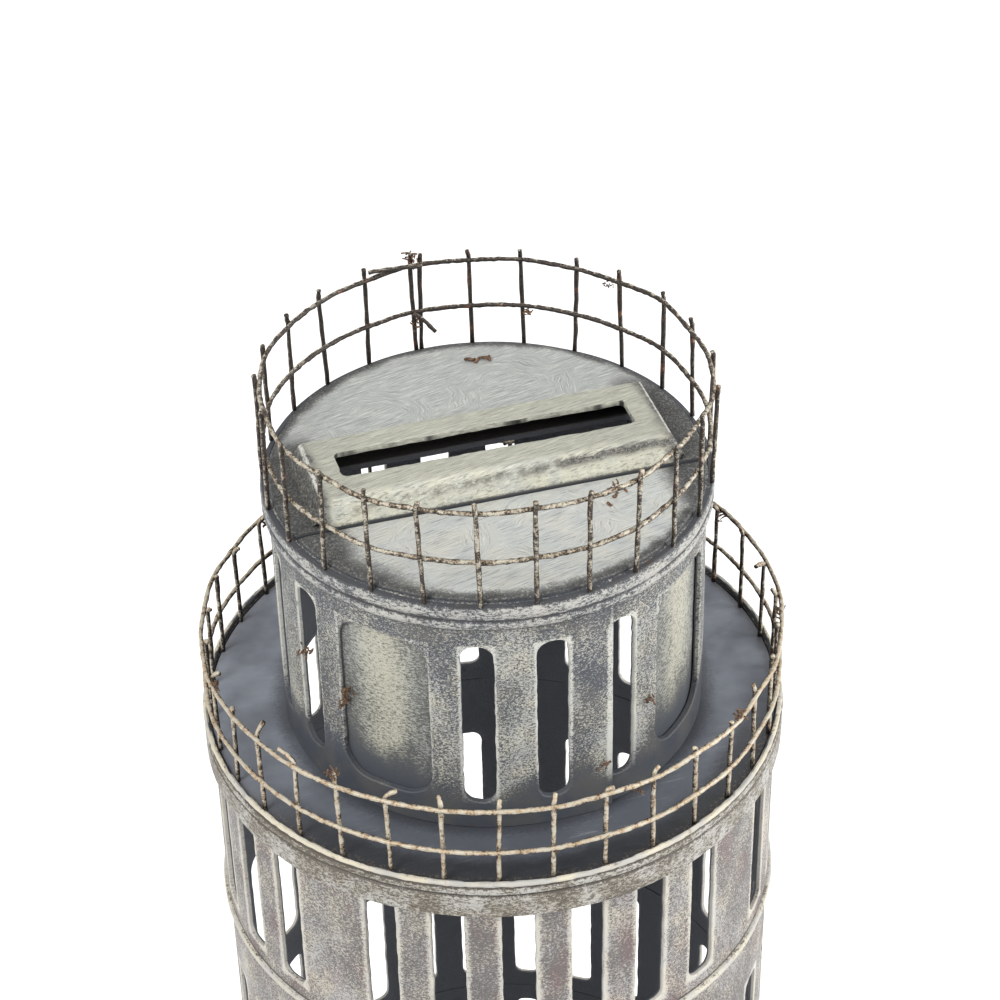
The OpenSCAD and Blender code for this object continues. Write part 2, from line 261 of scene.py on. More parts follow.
def sideways(loop, distance):
    along = np.roll(loop, -1, 0) - np.roll(loop, 1, 0)
    along /= np.linalg.norm(along, axis=1)[:, None]
    return loop + np.asarray(distance).reshape(-1, 1) * np.column_stack((-along[:, 1], along[:, 0]))


def ragged(loop, amount, seed):
    wander = np.array([ripple(x, y, seed, size=2.2) + 0.6 * ripple(x, y, seed + 9, size=0.7)
                       for x, y in loop])
    nicks = np.array([max(0.0, ripple(x, y, seed + 20, size=1.3) - 0.45) for x, y in loop])
    return sideways(loop, amount * (wander + 2.5 * nicks))


def inside(points, loop):
    x, y = points[:, :1], points[:, 1:]
    start, end = loop, np.roll(loop, -1, 0)
    level = (start[:, 1] > y) != (end[:, 1] > y)
    rise = end[:, 1] - start[:, 1]
    rise[rise == 0] = 1e-12
    crossing = (end[:, 0] - start[:, 0]) * (y - start[:, 1]) / rise + start[:, 0]
    return (level & (x < crossing)).sum(1) % 2 == 1


# %% [markdown]
# ### Filling and bending a sheet
# The space between the loops is filled with rows of points, and a constrained Delaunay fill joins them
# into triangles that never cross a cut edge. The same flat sheet is then placed twice, once for each
# face, and a strip of four-sided faces closes the cut edges between them.

# %% Filling and bending a sheet


def within_material(points, outline, holes):
    kept = inside(points, outline)
    for hole in holes:
        near = (points >= hole.min(0) - 0.01).all(1) & (points <= hole.max(0) + 0.01).all(1)
        kept[near] &= ~inside(points[near], hole)
    return kept


def fill_points(outline, holes, lips, spacing):
    low, high = outline.min(0), outline.max(0)
    rows = []
    for number, y in enumerate(np.arange(low[1] + spacing / 2, high[1], spacing * 0.87)):
        xs = np.arange(low[0] + spacing * (0.25 + 0.5 * (number % 2)), high[0], spacing)
        rows.append(np.column_stack((xs, np.full(len(xs), y))))
    points = np.vstack(rows)
    points = points[within_material(points, outline, holes)]
    tree = kdtree.KDTree(len(lips))
    for number, (x, y) in enumerate(lips):
        tree.insert((x, y, 0), number)
    tree.balance()
    return np.array([p for p in points if tree.find((p[0], p[1], 0))[2] > spacing * 0.42])


def add_sheet(shape, outline, holes, bend, thick, spacing=1.3, roll=0.1):
    """Outline and holes run counter-clockwise; bend(u, v, depth) gives the place of a point of the sheet."""
    rims = [outline] + [hole[::-1] for hole in holes]
    lips = [sideways(rim, roll) for rim in rims]
    edge = np.vstack(rims)
    lip = np.vstack(lips)
    flat = np.vstack((edge, lip, fill_points(outline, holes, np.vstack((edge, lip)), spacing)))
    links = []
    for first in (0, len(edge)):
        start = first
        for rim in rims:
            links += [(start + k, start + (k + 1) % len(rim)) for k in range(len(rim))]
            start += len(rim)
    spots, _, triangles, sources, _, _ = geometry.delaunay_2d_cdt(
        [Vector(p) for p in flat], links, [], 0, 1e-5)
    spots = np.array([spot[:] for spot in spots])
    triangles = np.array([list(triangle) for triangle in triangles])
    triangles = triangles[within_material(spots[triangles].mean(1), outline, holes)]
    newest = {source: number for number, group in enumerate(sources) for source in group}
    depth = np.zeros(len(spots))
    depth[[newest[k] for k in range(len(edge))]] = roll
    front = bend(spots[:, 0], spots[:, 1], depth)
    back = bend(spots[:, 0], spots[:, 1], np.full(len(spots), thick))
    count = len(spots)
    faces = triangles.tolist() + (triangles[:, ::-1] + count).tolist()
    for a, b in links[:len(edge)]:
        a, b = newest[a], newest[b]
        faces.append((b, a, a + count, b + count))
    shape.add(np.vstack((front, back)), faces)


def bend_round(radius, sway=0.1, seed=0.0, lap=None):
    """Wraps the sheet round the axis. u runs from the front towards +X, and v is the height."""

    def bend(u, v, depth):
        angle = u / radius
        dents = (np.sin(2 * angle + seed) + 0.6 * np.sin(5 * angle + v / 9 + 2 * seed)
                 + 0.4 * np.sin(9 * angle - v / 5))
        out = radius - depth + sway * dents / 2
        if lap is not None:
            out = out + lap(np.degrees(angle))
        return np.column_stack((out * np.sin(angle), -out * np.cos(angle), v))

    return bend


DROOP_REACH = 1.5


def bend_flat(level, droop=0.0, edge_radius=1.0, sway=0.0, seed=0.0):
    """Lays the sheet flat. Its rim droops over the last DROOP_REACH millimetres."""

    def bend(u, v, depth):
        past = np.clip((np.hypot(u, v) - edge_radius + DROOP_REACH) / DROOP_REACH, 0, 1)
        dents = np.sin(u / 6 + seed) * np.sin(v / 7 - seed) + 0.5 * np.sin((u + v) / 4 + seed)
        return np.column_stack((u, v, level - depth - droop * past ** 2 + sway * dents))

    return bend


# %% [markdown]
# ## A small language for shaders
# Node trees are hard to read as lists of links. The class below wraps a socket, so shader maths is
# written as ordinary expressions: `1 - mask * 0.5` adds its own Math nodes. Colours go through Mix and
# vectors through Vector Math, because a Math node would turn them into one grey number.

# %% A small language for shaders


class Value:
    """One output socket that can be added, multiplied and compared."""

    def __init__(self, paint, socket):
        self.paint = paint
        self.socket = socket

    def math(self, operation, first, second=0.0):
        return self.paint.node("ShaderNodeMath", {"operation": operation}, {0: first, 1: second})

    def __add__(self, other):
        return self.math("ADD", self, other)

    def __sub__(self, other):
        return self.math("SUBTRACT", self, other)

    def __mul__(self, other):
        return self.math("MULTIPLY", self, other)

    def __truediv__(self, other):
        return self.math("DIVIDE", self, other)

    def __rsub__(self, other):
        return self.math("SUBTRACT", other, self)

    def __abs__(self):
        return self.math("ABSOLUTE", self)

    __radd__ = __add__
    __rmul__ = __mul__

    def least(self, other):
        return self.math("MINIMUM", self, other)

    def most(self, other):
        return self.math("MAXIMUM", self, other)

    def ease(self, low, high):
        """0 below low, 1 above high, and a smooth rise between; low may be the larger."""
        return self.paint.node("ShaderNodeMapRange", {"interpolation_type": "SMOOTHSTEP"},
                               {0: self, 1: low, 2: high, 3: 0.0, 4: 1.0})


class Paint:
    """A material under construction. Lengths in its maths are in millimetres."""

    def __init__(self, name):
        self.material = bpy.data.materials.new(name)
        self.material.use_nodes = True
        self.tree = self.material.node_tree
        self.tree.nodes.clear()
        coordinates = self.node("ShaderNodeTexCoord", pick="Object")
        self.place = self.vector_math("SCALE", coordinates, {3: 1000.0})
        self.facing = self.node("ShaderNodeTexCoord", pick="Normal")

    def node(self, kind, settings=None, sockets=None, pick=0):
        node = self.tree.nodes.new(kind)
        for name, setting in (settings or {}).items():
            setattr(node, name, setting)
        for name, value in (sockets or {}).items():
            if isinstance(value, Value):
                self.tree.links.new(value.socket, node.inputs[name])
            else:
                node.inputs[name].default_value = value
        return Value(self, node.outputs[pick])

    def vector_math(self, operation, first, others=None):
        return self.node("ShaderNodeVectorMath", {"operation": operation}, {0: first, **(others or {})})

    def parts(self, vector):
        split = self.node("ShaderNodeSeparateXYZ", None, {0: vector})
        outputs = split.socket.node.outputs
        return Value(self, outputs[0]), Value(self, outputs[1]), Value(self, outputs[2])

    def vector(self, x, y, z):
        return self.node("ShaderNodeCombineXYZ", None, {0: x, 1: y, 2: z})

    def grain(self, size, stretch=(1, 1, 1), detail=2.0, rough=0.55, twist=0.0, at=None):
        """Noise with features of about this many millimetres, drawn out along the axes by stretch."""
        scale = [1 / (size * along) for along in stretch]
        moved = self.vector_math("MULTIPLY", at or self.place, {1: scale})
        return self.node("ShaderNodeTexNoise", None,
                         {"Vector": moved, "Scale": 1.0, "Detail": detail,
                          "Roughness": rough, "Distortion": twist})

    def blend(self, mask, low, high):
        return self.node("ShaderNodeMix", {"data_type": "RGBA"}, {0: mask, 6: low, 7: high}, pick=2)

    def finish(self, colour, roughness, metallic=0.0, height=None, relief=0.04):
        sockets = {"Base Color": colour, "Roughness": roughness, "Metallic": metallic}
        if height is not None:
            sockets["Normal"] = self.node("ShaderNodeBump", None,
                                          {"Strength": 1.0, "Distance": relief * MM, "Height": height})
        surface = self.node("ShaderNodeBsdfPrincipled", None, sockets)
        output = self.tree.nodes.new("ShaderNodeOutputMaterial")
        self.tree.links.new(surface.socket, output.inputs[0])
        return self.material


def tone(red, green, blue):
    """A paint colour from its 0-255 values, as a shader wants it."""
    return tuple((part / 255 / 12.92) if part < 11 else ((part / 255 + 0.055) / 1.055) ** 2.4
                 for part in (red, green, blue)) + (1.0,)


# %% [markdown]
# ## The paint shop
# The whole bank is first sprayed slate, and cream is then dragged over it with an almost dry brush. The
# brush only touches what stands proud, so the cream breaks into specks, gathers on cut edges and
# misses the corners. Each finish below is one recipe of the same three layers: slate, cream specks,
# and rust or grime. Some finishes add painted shade in gaps, grooves and creases, and painted
# highlights. A flat picture of paint would repeat and stretch round the drums,
# so the layers are mixed from noise in the piece's own millimetres.

# %% Colours of the paint shop
SLATE = tone(62, 66, 73)
# Painted shade at the foot of a wall that stands on a plate.
FOOT_SHADE_SLATE = tone(34, 36, 40)
INSIDE = tone(72, 75, 82)
PLUM = tone(94, 80, 79)
UMBER = tone(74, 54, 38)
RUST = tone(112, 70, 46)
BRASS = tone(170, 148, 120)
# Near-black: the wires' own dark, and painted shade in gaps, the seam slit, grooves and inside the coin box.
SOOT_AND_SHADE = tone(24, 22, 21)

# %% [markdown]
# ### Walls
# On a wall the brush runs round the drum, so the specks are a little longer sideways than upright. Two
# things come from the layout of the openings: the brush loads the edges of every slot, and it misses
# the foot of the belfry. The distance to the nearest slot is worked out from the angle round the
# tower, folded into one group of slots, then into one slot.

# %% Walls
QUARTER = math.pi / 2
SLOT_PITCH = math.radians(13.5)
WIDE_PITCH = math.radians(22.5)
BACK_PITCH = math.radians(13.3)
FRONT_SLOTS = 6
BACK_SLOTS = 15
LEFT_SLOTS = 4
SLOT_W = 4.0
SLOT_HEAD = 3.1
SLOT_SILL = 2.8
GALLERY_TURN = math.radians(-5)
ARCH_PITCH = math.radians(19.3)
ARCH_W = 3.9
ARCH_HEAD = 6.3
ARCH_SILL = 4.0
PANEL_W = 12.0
PANEL_CORNER = 3.5
LAP_END = math.radians(16.2)

# Each row of slots is its middle angle, its pitch and its number of slots.
row_end = (FRONT_SLOTS - 1) / 2 * SLOT_PITCH + WIDE_PITCH
FRONT_ROW = (GALLERY_TURN, SLOT_PITCH, FRONT_SLOTS)
BACK_ROW = (GALLERY_TURN + row_end + (BACK_SLOTS - 1) / 2 * BACK_PITCH, BACK_PITCH, BACK_SLOTS)
LEFT_ROW = (GALLERY_TURN - row_end - (LEFT_SLOTS - 1) / 2 * SLOT_PITCH, SLOT_PITCH, LEFT_SLOTS)


def fold(value, period):
    """Brings a value into the range from minus half a period to half a period."""
    turns = value.math("ROUND", value / period)
    return value - turns * period


def length_of(x, y):
    """The length of a flat vector."""
    squares = x * x + y * y
    return squares.math("SQRT", squares)


def wall_angle(paint):
    """The angle round the tower's axis, the distance from it and the height."""
    x, y, z = paint.parts(paint.place)
    return x.math("ARCTAN2", x, y * -1), length_of(x, y), z


def row_distance(angle, level, radius, row, width, low, high):
    """Distance over the metal to the nearest slot of a row, in millimetres."""
    middle, pitch, count = row
    half = (count - 1) / 2
    away = fold(angle - middle, 2 * math.pi)
    place = away / pitch + half
    nearest = place.math("ROUND", place).most(0.0).least(count - 1.0) - half
    across = abs(away - nearest * pitch) * radius - width / 2
    above = abs(level - (low + high) / 2) - (high - low) / 2
    return across.most(above)


def broken_cream(paint, size, sideways_stretch):
    """Brush specks: low where the brush missed and high where it touched."""
    long = paint.grain(size, (sideways_stretch, sideways_stretch, 1), detail=2.5, rough=0.65)
    fine = paint.grain(size * 0.55, (1, 1, 1), detail=1.5, rough=0.6, twist=0.8)
    return long * 0.58 + fine * 0.42


def belfry_paint():
    paint = Paint("belfry_drybrush")
    angle, radius, z = wall_angle(paint)
    level = z - belfry.low
    height = belfry.high - belfry.low
    arch_top = height - ARCH_HEAD
    to_slot = row_distance(fold(angle, QUARTER), level, BELFRY_R, (0.0, ARCH_PITCH, 3), ARCH_W,
                           ARCH_SILL, arch_top)
    panel = abs(fold(angle - QUARTER / 2, QUARTER)) * BELFRY_R - PANEL_W / 2
    to_panel = abs(panel.most(abs(level - (arch_top + ARCH_SILL) / 2) - (arch_top - ARCH_SILL) / 2))
    past_lap = fold(angle - LAP_END, 2 * math.pi) * BELFRY_R
    # A painted highlight along the lap seam's edge, and a painted shadow in the gap beside it.
    lap_highlight = abs(past_lap + 0.25).ease(0.32, 0.1)
    lap_shadow = abs(past_lap - 0.15).ease(0.22, 0.08)
    at_edge = to_slot.ease(0.45, 0.08).most(to_panel.ease(0.35, 0.05) * 0.5).most(lap_highlight * 0.7)
    broad = paint.grain(7.0, (1, 1, 1.6), detail=2.0)
    foot = (level + (broad - 0.5) * 7).ease(2.0, 10.0)
    under_rim = (level + (broad - 0.5) * 6).ease(height - 9.0, height - 3.5)
    specks = broken_cream(paint, 0.19, 1.6)
    cover = (specks + at_edge * 0.10 + (broad - 0.5) * 0.32 + foot * 0.16
             - under_rim * 0.05 - 0.185).ease(0.42, 0.54)
    cover = cover * foot.ease(0.05, 0.8)
    cream = paint.blend(paint.grain(3.0, detail=2.0).ease(0.4, 0.65),
                        tone(166, 166, 160), tone(178, 175, 162))
    cream = paint.blend(at_edge * 0.6, cream, tone(194, 194, 188))
    ground_coat = paint.blend(paint.grain(4.0).ease(0.35, 0.7), SLATE, tone(76, 76, 76))
    grime = paint.grain(4.5, detail=4.0, rough=0.7).ease(0.60, 0.70) * specks.ease(0.58, 0.46)
    outside = paint.blend(grime * 0.7, paint.blend(cover * 0.95, ground_coat, cream), UMBER)
    # Painted shadow in the lap seam's gap.
    outside = paint.blend(lap_shadow * 0.8, outside, SOOT_AND_SHADE)
    is_outside = radius.ease(BELFRY_R - SHEET * 0.75, BELFRY_R - SHEET * 0.6)
    colour = paint.blend(is_outside, INSIDE, outside)
    return paint.finish(colour, 0.62 - cover * 0.1, 0.0, cover * 0.5 + specks, 0.06)


def panel_paint():
    paint = Paint("panel_drybrush")
    angle, radius, z = wall_angle(paint)
    level = z - belfry.low
    broad = paint.grain(6.0, (1, 1, 1.6), detail=2.0)
    foot = (level + (broad - 0.5) * 6).ease(4.0, 12.5)
    panel = fold(angle - QUARTER / 2, QUARTER) * BELFRY_R
    # Painted highlight: the middle of each panel is lighter and takes more cream, as if lit.
    lit_panel_middle = abs(panel).ease(6.0, 0.5)
    specks = broken_cream(paint, 0.19, 2.6)
    cover = (specks + lit_panel_middle * 0.09 + foot * 0.16 - 0.205 + (broad - 0.5) * 0.2).ease(0.41, 0.56)
    cover = cover * foot.ease(0.1, 0.9)
    cream = paint.blend(lit_panel_middle, tone(148, 150, 146), tone(170, 168, 152))
    outside = paint.blend(cover * 0.92, paint.blend(foot, SLATE, tone(78, 78, 76)), cream)
    is_outside = radius.ease(BELFRY_R - SHEET * 1.75, BELFRY_R - SHEET * 1.6)
    colour = paint.blend(is_outside, INSIDE, outside)
    return paint.finish(colour, 0.62 - cover * 0.1, 0.0, cover * 0.5 + specks, 0.06)


def gallery_paint(name, base, rows, period=0.0):
    """A gallery's finish. With a period, the pattern of openings repeats up the tower."""
    paint = Paint(name)
    angle, radius, z = wall_angle(paint)
    level = z - base
    if period:
        level = level.math("MODULO", level, period)
    broad = paint.grain(6.0, (1, 1, 1.6), detail=3.0)
    specks = broken_cream(paint, 0.24, 1.3)
    cover = specks + (broad - 0.5) * 0.35 - 0.05
    edge = 0.0
    if rows:
        gaps = [row_distance(angle, level, GALLERY_R, row, SLOT_W, SLOT_SILL, GALLERY_H - SLOT_HEAD)
                for row in rows]
        edge = gaps[0].least(gaps[1]).least(gaps[2]).ease(0.9, 0.1)
    cover = (cover + edge * 0.14).ease(0.39, 0.57)
    plum_patch = paint.grain(4.5, (1, 1, 2.0), detail=3.0).ease(0.48, 0.62)
    undercoat = paint.blend(plum_patch, tone(88, 84, 83), PLUM)
    cream = paint.blend(paint.grain(5.0).ease(0.4, 0.6), tone(164, 162, 158), tone(178, 172, 158))
    cream = paint.blend(edge * 0.6, cream, tone(192, 188, 178))
    grime = paint.grain(3.0, detail=4.0, rough=0.7).ease(0.62, 0.72) * specks.ease(0.56, 0.46)
    outside = paint.blend(grime * 0.6, paint.blend(cover * 0.92, undercoat, cream), UMBER)
    # Painted shadow: a dark band at the foot of each drum, just above the joint bead.
    joint = level.ease(0.95, 0.55)
    outside = paint.blend(joint * 0.75, outside, SOOT_AND_SHADE)
    is_outside = radius.ease(GALLERY_R - SHEET * 0.8, GALLERY_R - SHEET * 0.6)
    colour = paint.blend(is_outside, INSIDE, outside)
    return paint.finish(colour, 0.6 - cover * 0.1, 0.0, cover * 0.5 + specks, 0.06)


BELFRY_PAINT = belfry_paint()
PANEL_PAINT = panel_paint()
ROWS = (FRONT_ROW, BACK_ROW, LEFT_ROW)
LOW_GALLERY_PAINT = gallery_paint("low_gallery_drybrush", gallery_low.low, ROWS, GALLERY_H)
NECK_GALLERY_PAINT = gallery_paint("neck_gallery_drybrush", span("gallery_drum_5").low, ROWS)
TOP_GALLERY_PAINT = gallery_paint("top_gallery_drybrush", gallery_top.low, ROWS)
GROUND_PAINT = gallery_paint("ground_drybrush", ground.low - 2.0, ())
print("the wall finishes are mixed")

# %% [markdown]
# ### Roof and coin box
# The roof got a nearly full coat of cream, put on with a stiff round brush that was twisted on the
# spot. Twisting leaves nests of arcs, so the noise is read in polar coordinates round a few brush
# centres, with a long stretch along the arc and a short one across it. Grime darkens the rim, and
# painted shade darkens its front edge, the seam and the roof under the box.

# %% Roof and coin box


def arcs_round(paint, centre_x, centre_y, reach, wander):
    """Fine arcs round one brush centre, and a mask that fades out at the brush's reach."""
    x, y, z = paint.parts(paint.place)
    east, north = x - centre_x, y - centre_y
    away = length_of(east, north) + wander * 3.0
    turn = east.math("ARCTAN2", north, east)
    lines = paint.grain(1.0, (2.0, 0.15, 1.0), detail=3.0, rough=0.65,
                        at=paint.vector(turn * 3.0, away, z * 0))
    near = away.ease(reach, reach * 0.75) * away.ease(reach * 0.3, reach * 0.5)
    return lines, near * wander.ease(-0.10, 0.04)


def roof_paint(name, edge):
    paint = Paint(name)
    x, y, z = paint.parts(paint.place)
    blotch = paint.grain(4.0, detail=3.0)
    brushed = paint.vector(x * 0.97 + y * 0.24, y * 0.97 - x * 0.24, z)
    lines = paint.grain(1.0, (2.4, 0.17, 0.5), detail=3.5, rough=0.65, twist=0.6, at=brushed)
    strokes = ((4.0, -14.0, 8.5), (-9.0, -13.0, 7.0), (14.0, -11.5, 6.5),
               (7.0, 13.0, 10.0), (-10.0, 12.0, 8.0))
    for centre_x, centre_y, reach in strokes:
        arcs, near = arcs_round(paint, centre_x, centre_y, reach, blotch - 0.5)
        lines = lines + (arcs - lines) * near
    cream = paint.blend(blotch.ease(0.3, 0.7), tone(160, 163, 162), tone(172, 171, 163))
    cream = paint.blend(y.ease(6.0, -8.0), tone(150, 152, 149), cream)
    painted = paint.blend(lines.ease(0.48, 0.36) * 0.65, cream, tone(112, 115, 115))
    painted = paint.blend(lines.ease(0.52, 0.64) * 0.6, painted, tone(192, 192, 184))
    distance = length_of(x, y)
    specks = broken_cream(paint, 0.32, 1.0)
    # The rim, the box ends and the front left are darkened: grime, and along the front rim also painted
    # shade.
    rim = (distance + (specks - 0.5) * 3.0 + (blotch - 0.5) * 2.0).ease(edge - 1.7, edge - 0.5)
    ends = (abs(x) + (specks - 0.5) * 5).ease(17.5, 20.5) * (y + (blotch - 0.5) * 6).ease(13.0, 8.0)
    front_left = (x * -0.8 - y * 0.6 + (specks - 0.5) * 6).ease(21.5, 24.5)
    grime_and_shade = rim.most(ends).most(front_left)
    # Painted shade: the roof under the coin box is black, and the slit along the seam gets a painted shadow.
    under_box = abs(x).ease(22.0, 21.5) * abs(y).ease(6.6, 6.2)
    slit = abs(y - (seam_back + seam_front) / 2).ease(0.34, 0.2)
    grime_and_shade_tone = paint.blend(specks.ease(0.48, 0.62), tone(34, 33, 33), tone(96, 96, 93))
    colour = paint.blend(grime_and_shade * 0.94, painted, grime_and_shade_tone)
    colour = paint.blend((slit * 0.92).most(under_box), colour, SOOT_AND_SHADE)
    up = paint.parts(paint.facing)[2]
    colour = paint.blend(up.ease(0.3, -0.3), colour, INSIDE)
    return paint.finish(colour, 0.5 + blotch * 0.12, 0.0, lines * 1.2 + blotch * 0.4 + specks * 0.3, 0.08)


def coin_box_paint():
    paint = Paint("coin_box_cream")
    x, y, z = paint.parts(paint.place)
    brushed = paint.vector(x * 0.98 + y * 0.2, y * 0.98 - x * 0.2, z)
    lines = paint.grain(1.0, (2.2, 0.17, 0.3), detail=3.5, rough=0.65, twist=0.6, at=brushed)
    blotch = paint.grain(3.5, detail=3.0)
    specks = broken_cream(paint, 0.28, 1.6)
    cream = paint.blend(blotch.ease(0.35, 0.65), tone(166, 167, 159), tone(182, 180, 163))
    # Painted shade: the top face is a darker cream than the front face.
    on_top = y.ease(-6.4, -4.6)
    cream = paint.blend(on_top, cream, tone(148, 148, 136))
    painted = paint.blend(lines.ease(0.48, 0.36) * 0.65, cream, tone(110, 110, 103))
    painted = paint.blend(lines.ease(0.52, 0.64) * (0.7 - on_top * 0.3), painted, tone(198, 196, 181))
    level = z - roof.high
    wander = (blotch - 0.5) * 1.8 + (lines - 0.5) * 1.4
    streak = abs(level - 2.2 - x * 0.03 + wander * 0.9).ease(0.9, 0.1) * y.ease(-5.6, -6.2)
    streak = streak * (blotch + x * 0.009 + (specks - 0.5) * 0.6 + 0.02).ease(0.38, 0.60)
    at_ends = (abs(x) + wander * 1.5).ease(19.8, 21.2)
    # Painted shade: a dark band along the foot, in the crease where the box meets the roof. The streak and
    # the ends are grime.
    at_foot = (level + (specks - 0.5) * 1.0).ease(0.28, 0.0)
    grime_and_shade = (streak * 0.9).most(at_ends * 0.95).most(at_foot * 0.7)
    grime_and_shade_tone = paint.blend(specks.ease(0.46, 0.60), tone(38, 38, 40), tone(116, 114, 106))
    colour = paint.blend(grime_and_shade, painted, grime_and_shade_tone)
    edge = (abs(y) - (foot_w / 2 - SIDE_RUN)).most(abs(x) - (foot_l / 2 - END_RUN))
    # Pale top edges: worn paint, and a painted highlight where the edges catch the light.
    worn_and_lit_edge = abs(edge).ease(0.32, 0.08) * y.ease(-5.4, -4.6) * specks.ease(0.38, 0.5)
    colour = paint.blend(worn_and_lit_edge * 0.7, colour, tone(212, 211, 202))
    # Painted shade: the cut walls of the coin slot and the box's underside are near-black, standing for the
    # dark inside.
    in_slot = (abs(x).ease(COIN_SLOT_L / 2 + 0.02, COIN_SLOT_L / 2 - 0.1)
               * abs(y - coin_slot_mid).ease(COIN_SLOT_W / 2 + 0.02, COIN_SLOT_W / 2 - 0.1))
    colour = paint.blend(in_slot * level.ease(box_high - 0.10, box_high - 0.18), colour, SOOT_AND_SHADE)
    up = paint.parts(paint.facing)[2]
    colour = paint.blend(up.ease(0.0, -0.4), colour, SOOT_AND_SHADE)
    return paint.finish(colour, 0.52, 0.0, lines * 1.2 + blotch * 0.4 + specks * 0.3, 0.08)


SIDE_RUN = 1.0
END_RUN = 1.5
ROOF_INSET = 0.3
box = span("coin_box")
box_high = box.high - roof.high
foot_l = 2 * np.abs(box.points[:, 0]).max()
foot_w = 2 * np.abs(box.points[:, 1]).max()
at_top = box.points[box.points[:, 2] > box.high - 0.01]
slot_points = at_top[(np.abs(at_top[:, 0]) < foot_l / 2 - 3) & (np.abs(at_top[:, 1]) < foot_w / 2 - 3)]
COIN_SLOT_L, COIN_SLOT_W = np.ptp(slot_points[:, :2], axis=0)
coin_slot_mid = float(slot_points[:, 1].max() - COIN_SLOT_W / 2)
front_plate = span("roof_front_plate")
seam_back = roof.points[:, 1].min()
seam_front = front_plate.points[:, 1].max()
ROOF_PAINT = roof_paint("roof_cream", BELFRY_R - ROOF_INSET)
BOX_PAINT = coin_box_paint()
print("roof finishes mixed; the coin slot is", round(COIN_SLOT_L, 1), "by", round(COIN_SLOT_W, 1), "mm")

# %% [markdown]
# ### Bands, plates and wires
# The rolled bands were rubbed hard, so their proud lines are pale; their grooves carry painted shade. The
# wires were brushed from outside only: from inside they still look almost black, and their upper sides carry
# a painted highlight. The normal in the piece's own axes says which side faces out and which faces up.

# %% Bands, plates and wires


bead_out = span("base_edge_wire", UPRIGHT).outer


def outward(paint):
    """1 where the surface faces away from the tower's axis, -1 where it faces the axis."""
    x, y, z = paint.parts(paint.place)
    nx, ny, nz = paint.parts(paint.facing)
    away = length_of(x, y)
    return (x * nx + y * ny) / away, nz


def band_paint(name, dark, light, amount, top, proud_at):
    """Cream stays on the proudest radius, and painted shade darkens anything a fifth of a millimetre below it
    that does not face up.
    """
    paint = Paint(name)
    out, up = outward(paint)
    radius = wall_angle(paint)[1]
    proud = radius.ease(proud_at - 0.22, proud_at - 0.02)
    # Painted shade in the grooves, on faces that don't look up.
    groove = radius.ease(proud_at - 0.12, proud_at - 0.24) * up.ease(0.75, 0.4)
    specks = broken_cream(paint, 0.25, 2.2)
    broad = paint.grain(5.0, (1, 1, 1), detail=3.0)
    cover = (specks + (broad - 0.5) * 0.35 + proud * 0.12 + up * top + amount).ease(0.41, 0.57)
    cream = paint.blend(broad.ease(0.4, 0.6), light, tone(168, 166, 160))
    grime = paint.grain(2.2, detail=4.0, rough=0.7).ease(0.58, 0.70) * specks.ease(0.58, 0.46)
    colour = paint.blend(grime * 0.65, paint.blend(cover * 0.95, dark, cream), UMBER)
    colour = paint.blend(groove * 0.7, colour, SOOT_AND_SHADE)
    colour = paint.blend(out.ease(-0.2, -0.6), colour, INSIDE)
    return paint.finish(colour, 0.55, 0.0, cover * 0.4 + specks, 0.06)


def slate_paint(name, scuffs, inner, outer):
    paint = Paint(name)
    x, y, z = paint.parts(paint.place)
    away = length_of(x, y)
    lines = paint.grain(1.0, (3.0, 0.3, 1.0), detail=3.0, rough=0.65, twist=1.0)
    specks = broken_cream(paint, 0.35, 1.2)
    cloud = paint.grain(8.0, detail=3.0)
    scuffed = (lines + (cloud - 0.5) * 0.5 + specks * 0.2).ease(0.66, 0.84)
    base = paint.blend(cloud.ease(0.35, 0.65), tone(98, 102, 110), tone(122, 127, 136))
    base = paint.blend(y.ease(-4.0, -26.0) * 0.8, base, tone(66, 69, 76))
    colour = paint.blend(scuffed * scuffs, base, tone(140, 142, 142))
    # Near the rim at the front the plate is darker and glossier, with more relief.
    dark_front_rim = ((away + (specks - 0.5) * 2.5 + (cloud - 0.5) * 4).ease(outer - 5.5, outer - 2.5)
           * y.ease(-2.0, -22.0))
    colour = paint.blend(dark_front_rim * 0.85, colour, tone(34, 35, 38))
    worn = (away + (specks - 0.5) * 2.0).ease(outer - 1.4, outer - 0.3)
    colour = paint.blend(worn * specks.ease(0.52, 0.62) * 0.7, colour, tone(112, 96, 80))
    # Painted shade: the plate is darker towards the foot of the wall that stands on it.
    foot_shade = (away + (specks - 0.5) * 3.0).ease(inner + 2.2, inner + 0.2)
    colour = paint.blend(foot_shade * 0.6, colour, FOOT_SHADE_SLATE)
    up = paint.parts(paint.facing)[2]
    colour = paint.blend(up.ease(-0.2, -0.5), colour, INSIDE)
    return paint.finish(colour, 0.5 - dark_front_rim * 0.15, 0.0, lines * 0.3 + specks * (0.5 + dark_front_rim), 0.04)


def wire_paint(name, highlight):
    paint = Paint(name)
    out, up = outward(paint)
    patches = paint.grain(0.8, detail=3.0, rough=0.65)
    fine = paint.grain(0.2, detail=2.0, rough=0.6)
    # Cream on the outward side is dry-brushed paint; the extra cream on upward-facing sides is a painted
    # highlight from above.
    dry = (out * 0.13 + up * 0.14 + patches * 0.7 + fine * 0.3 + highlight).ease(0.46, 0.70)
    bright = paint.blend(patches.ease(0.38, 0.62), BRASS, tone(176, 170, 154))
    dark = paint.blend(fine.ease(0.4, 0.6), SOOT_AND_SHADE, tone(58, 47, 39))
    rusty = paint.grain(1.6, detail=3.0).ease(0.58, 0.70)
    colour = paint.blend(dry, paint.blend(rusty * 0.6, dark, RUST), bright)
    return paint.finish(colour, 0.5, 0.3, patches * 0.6 + fine, 0.06)


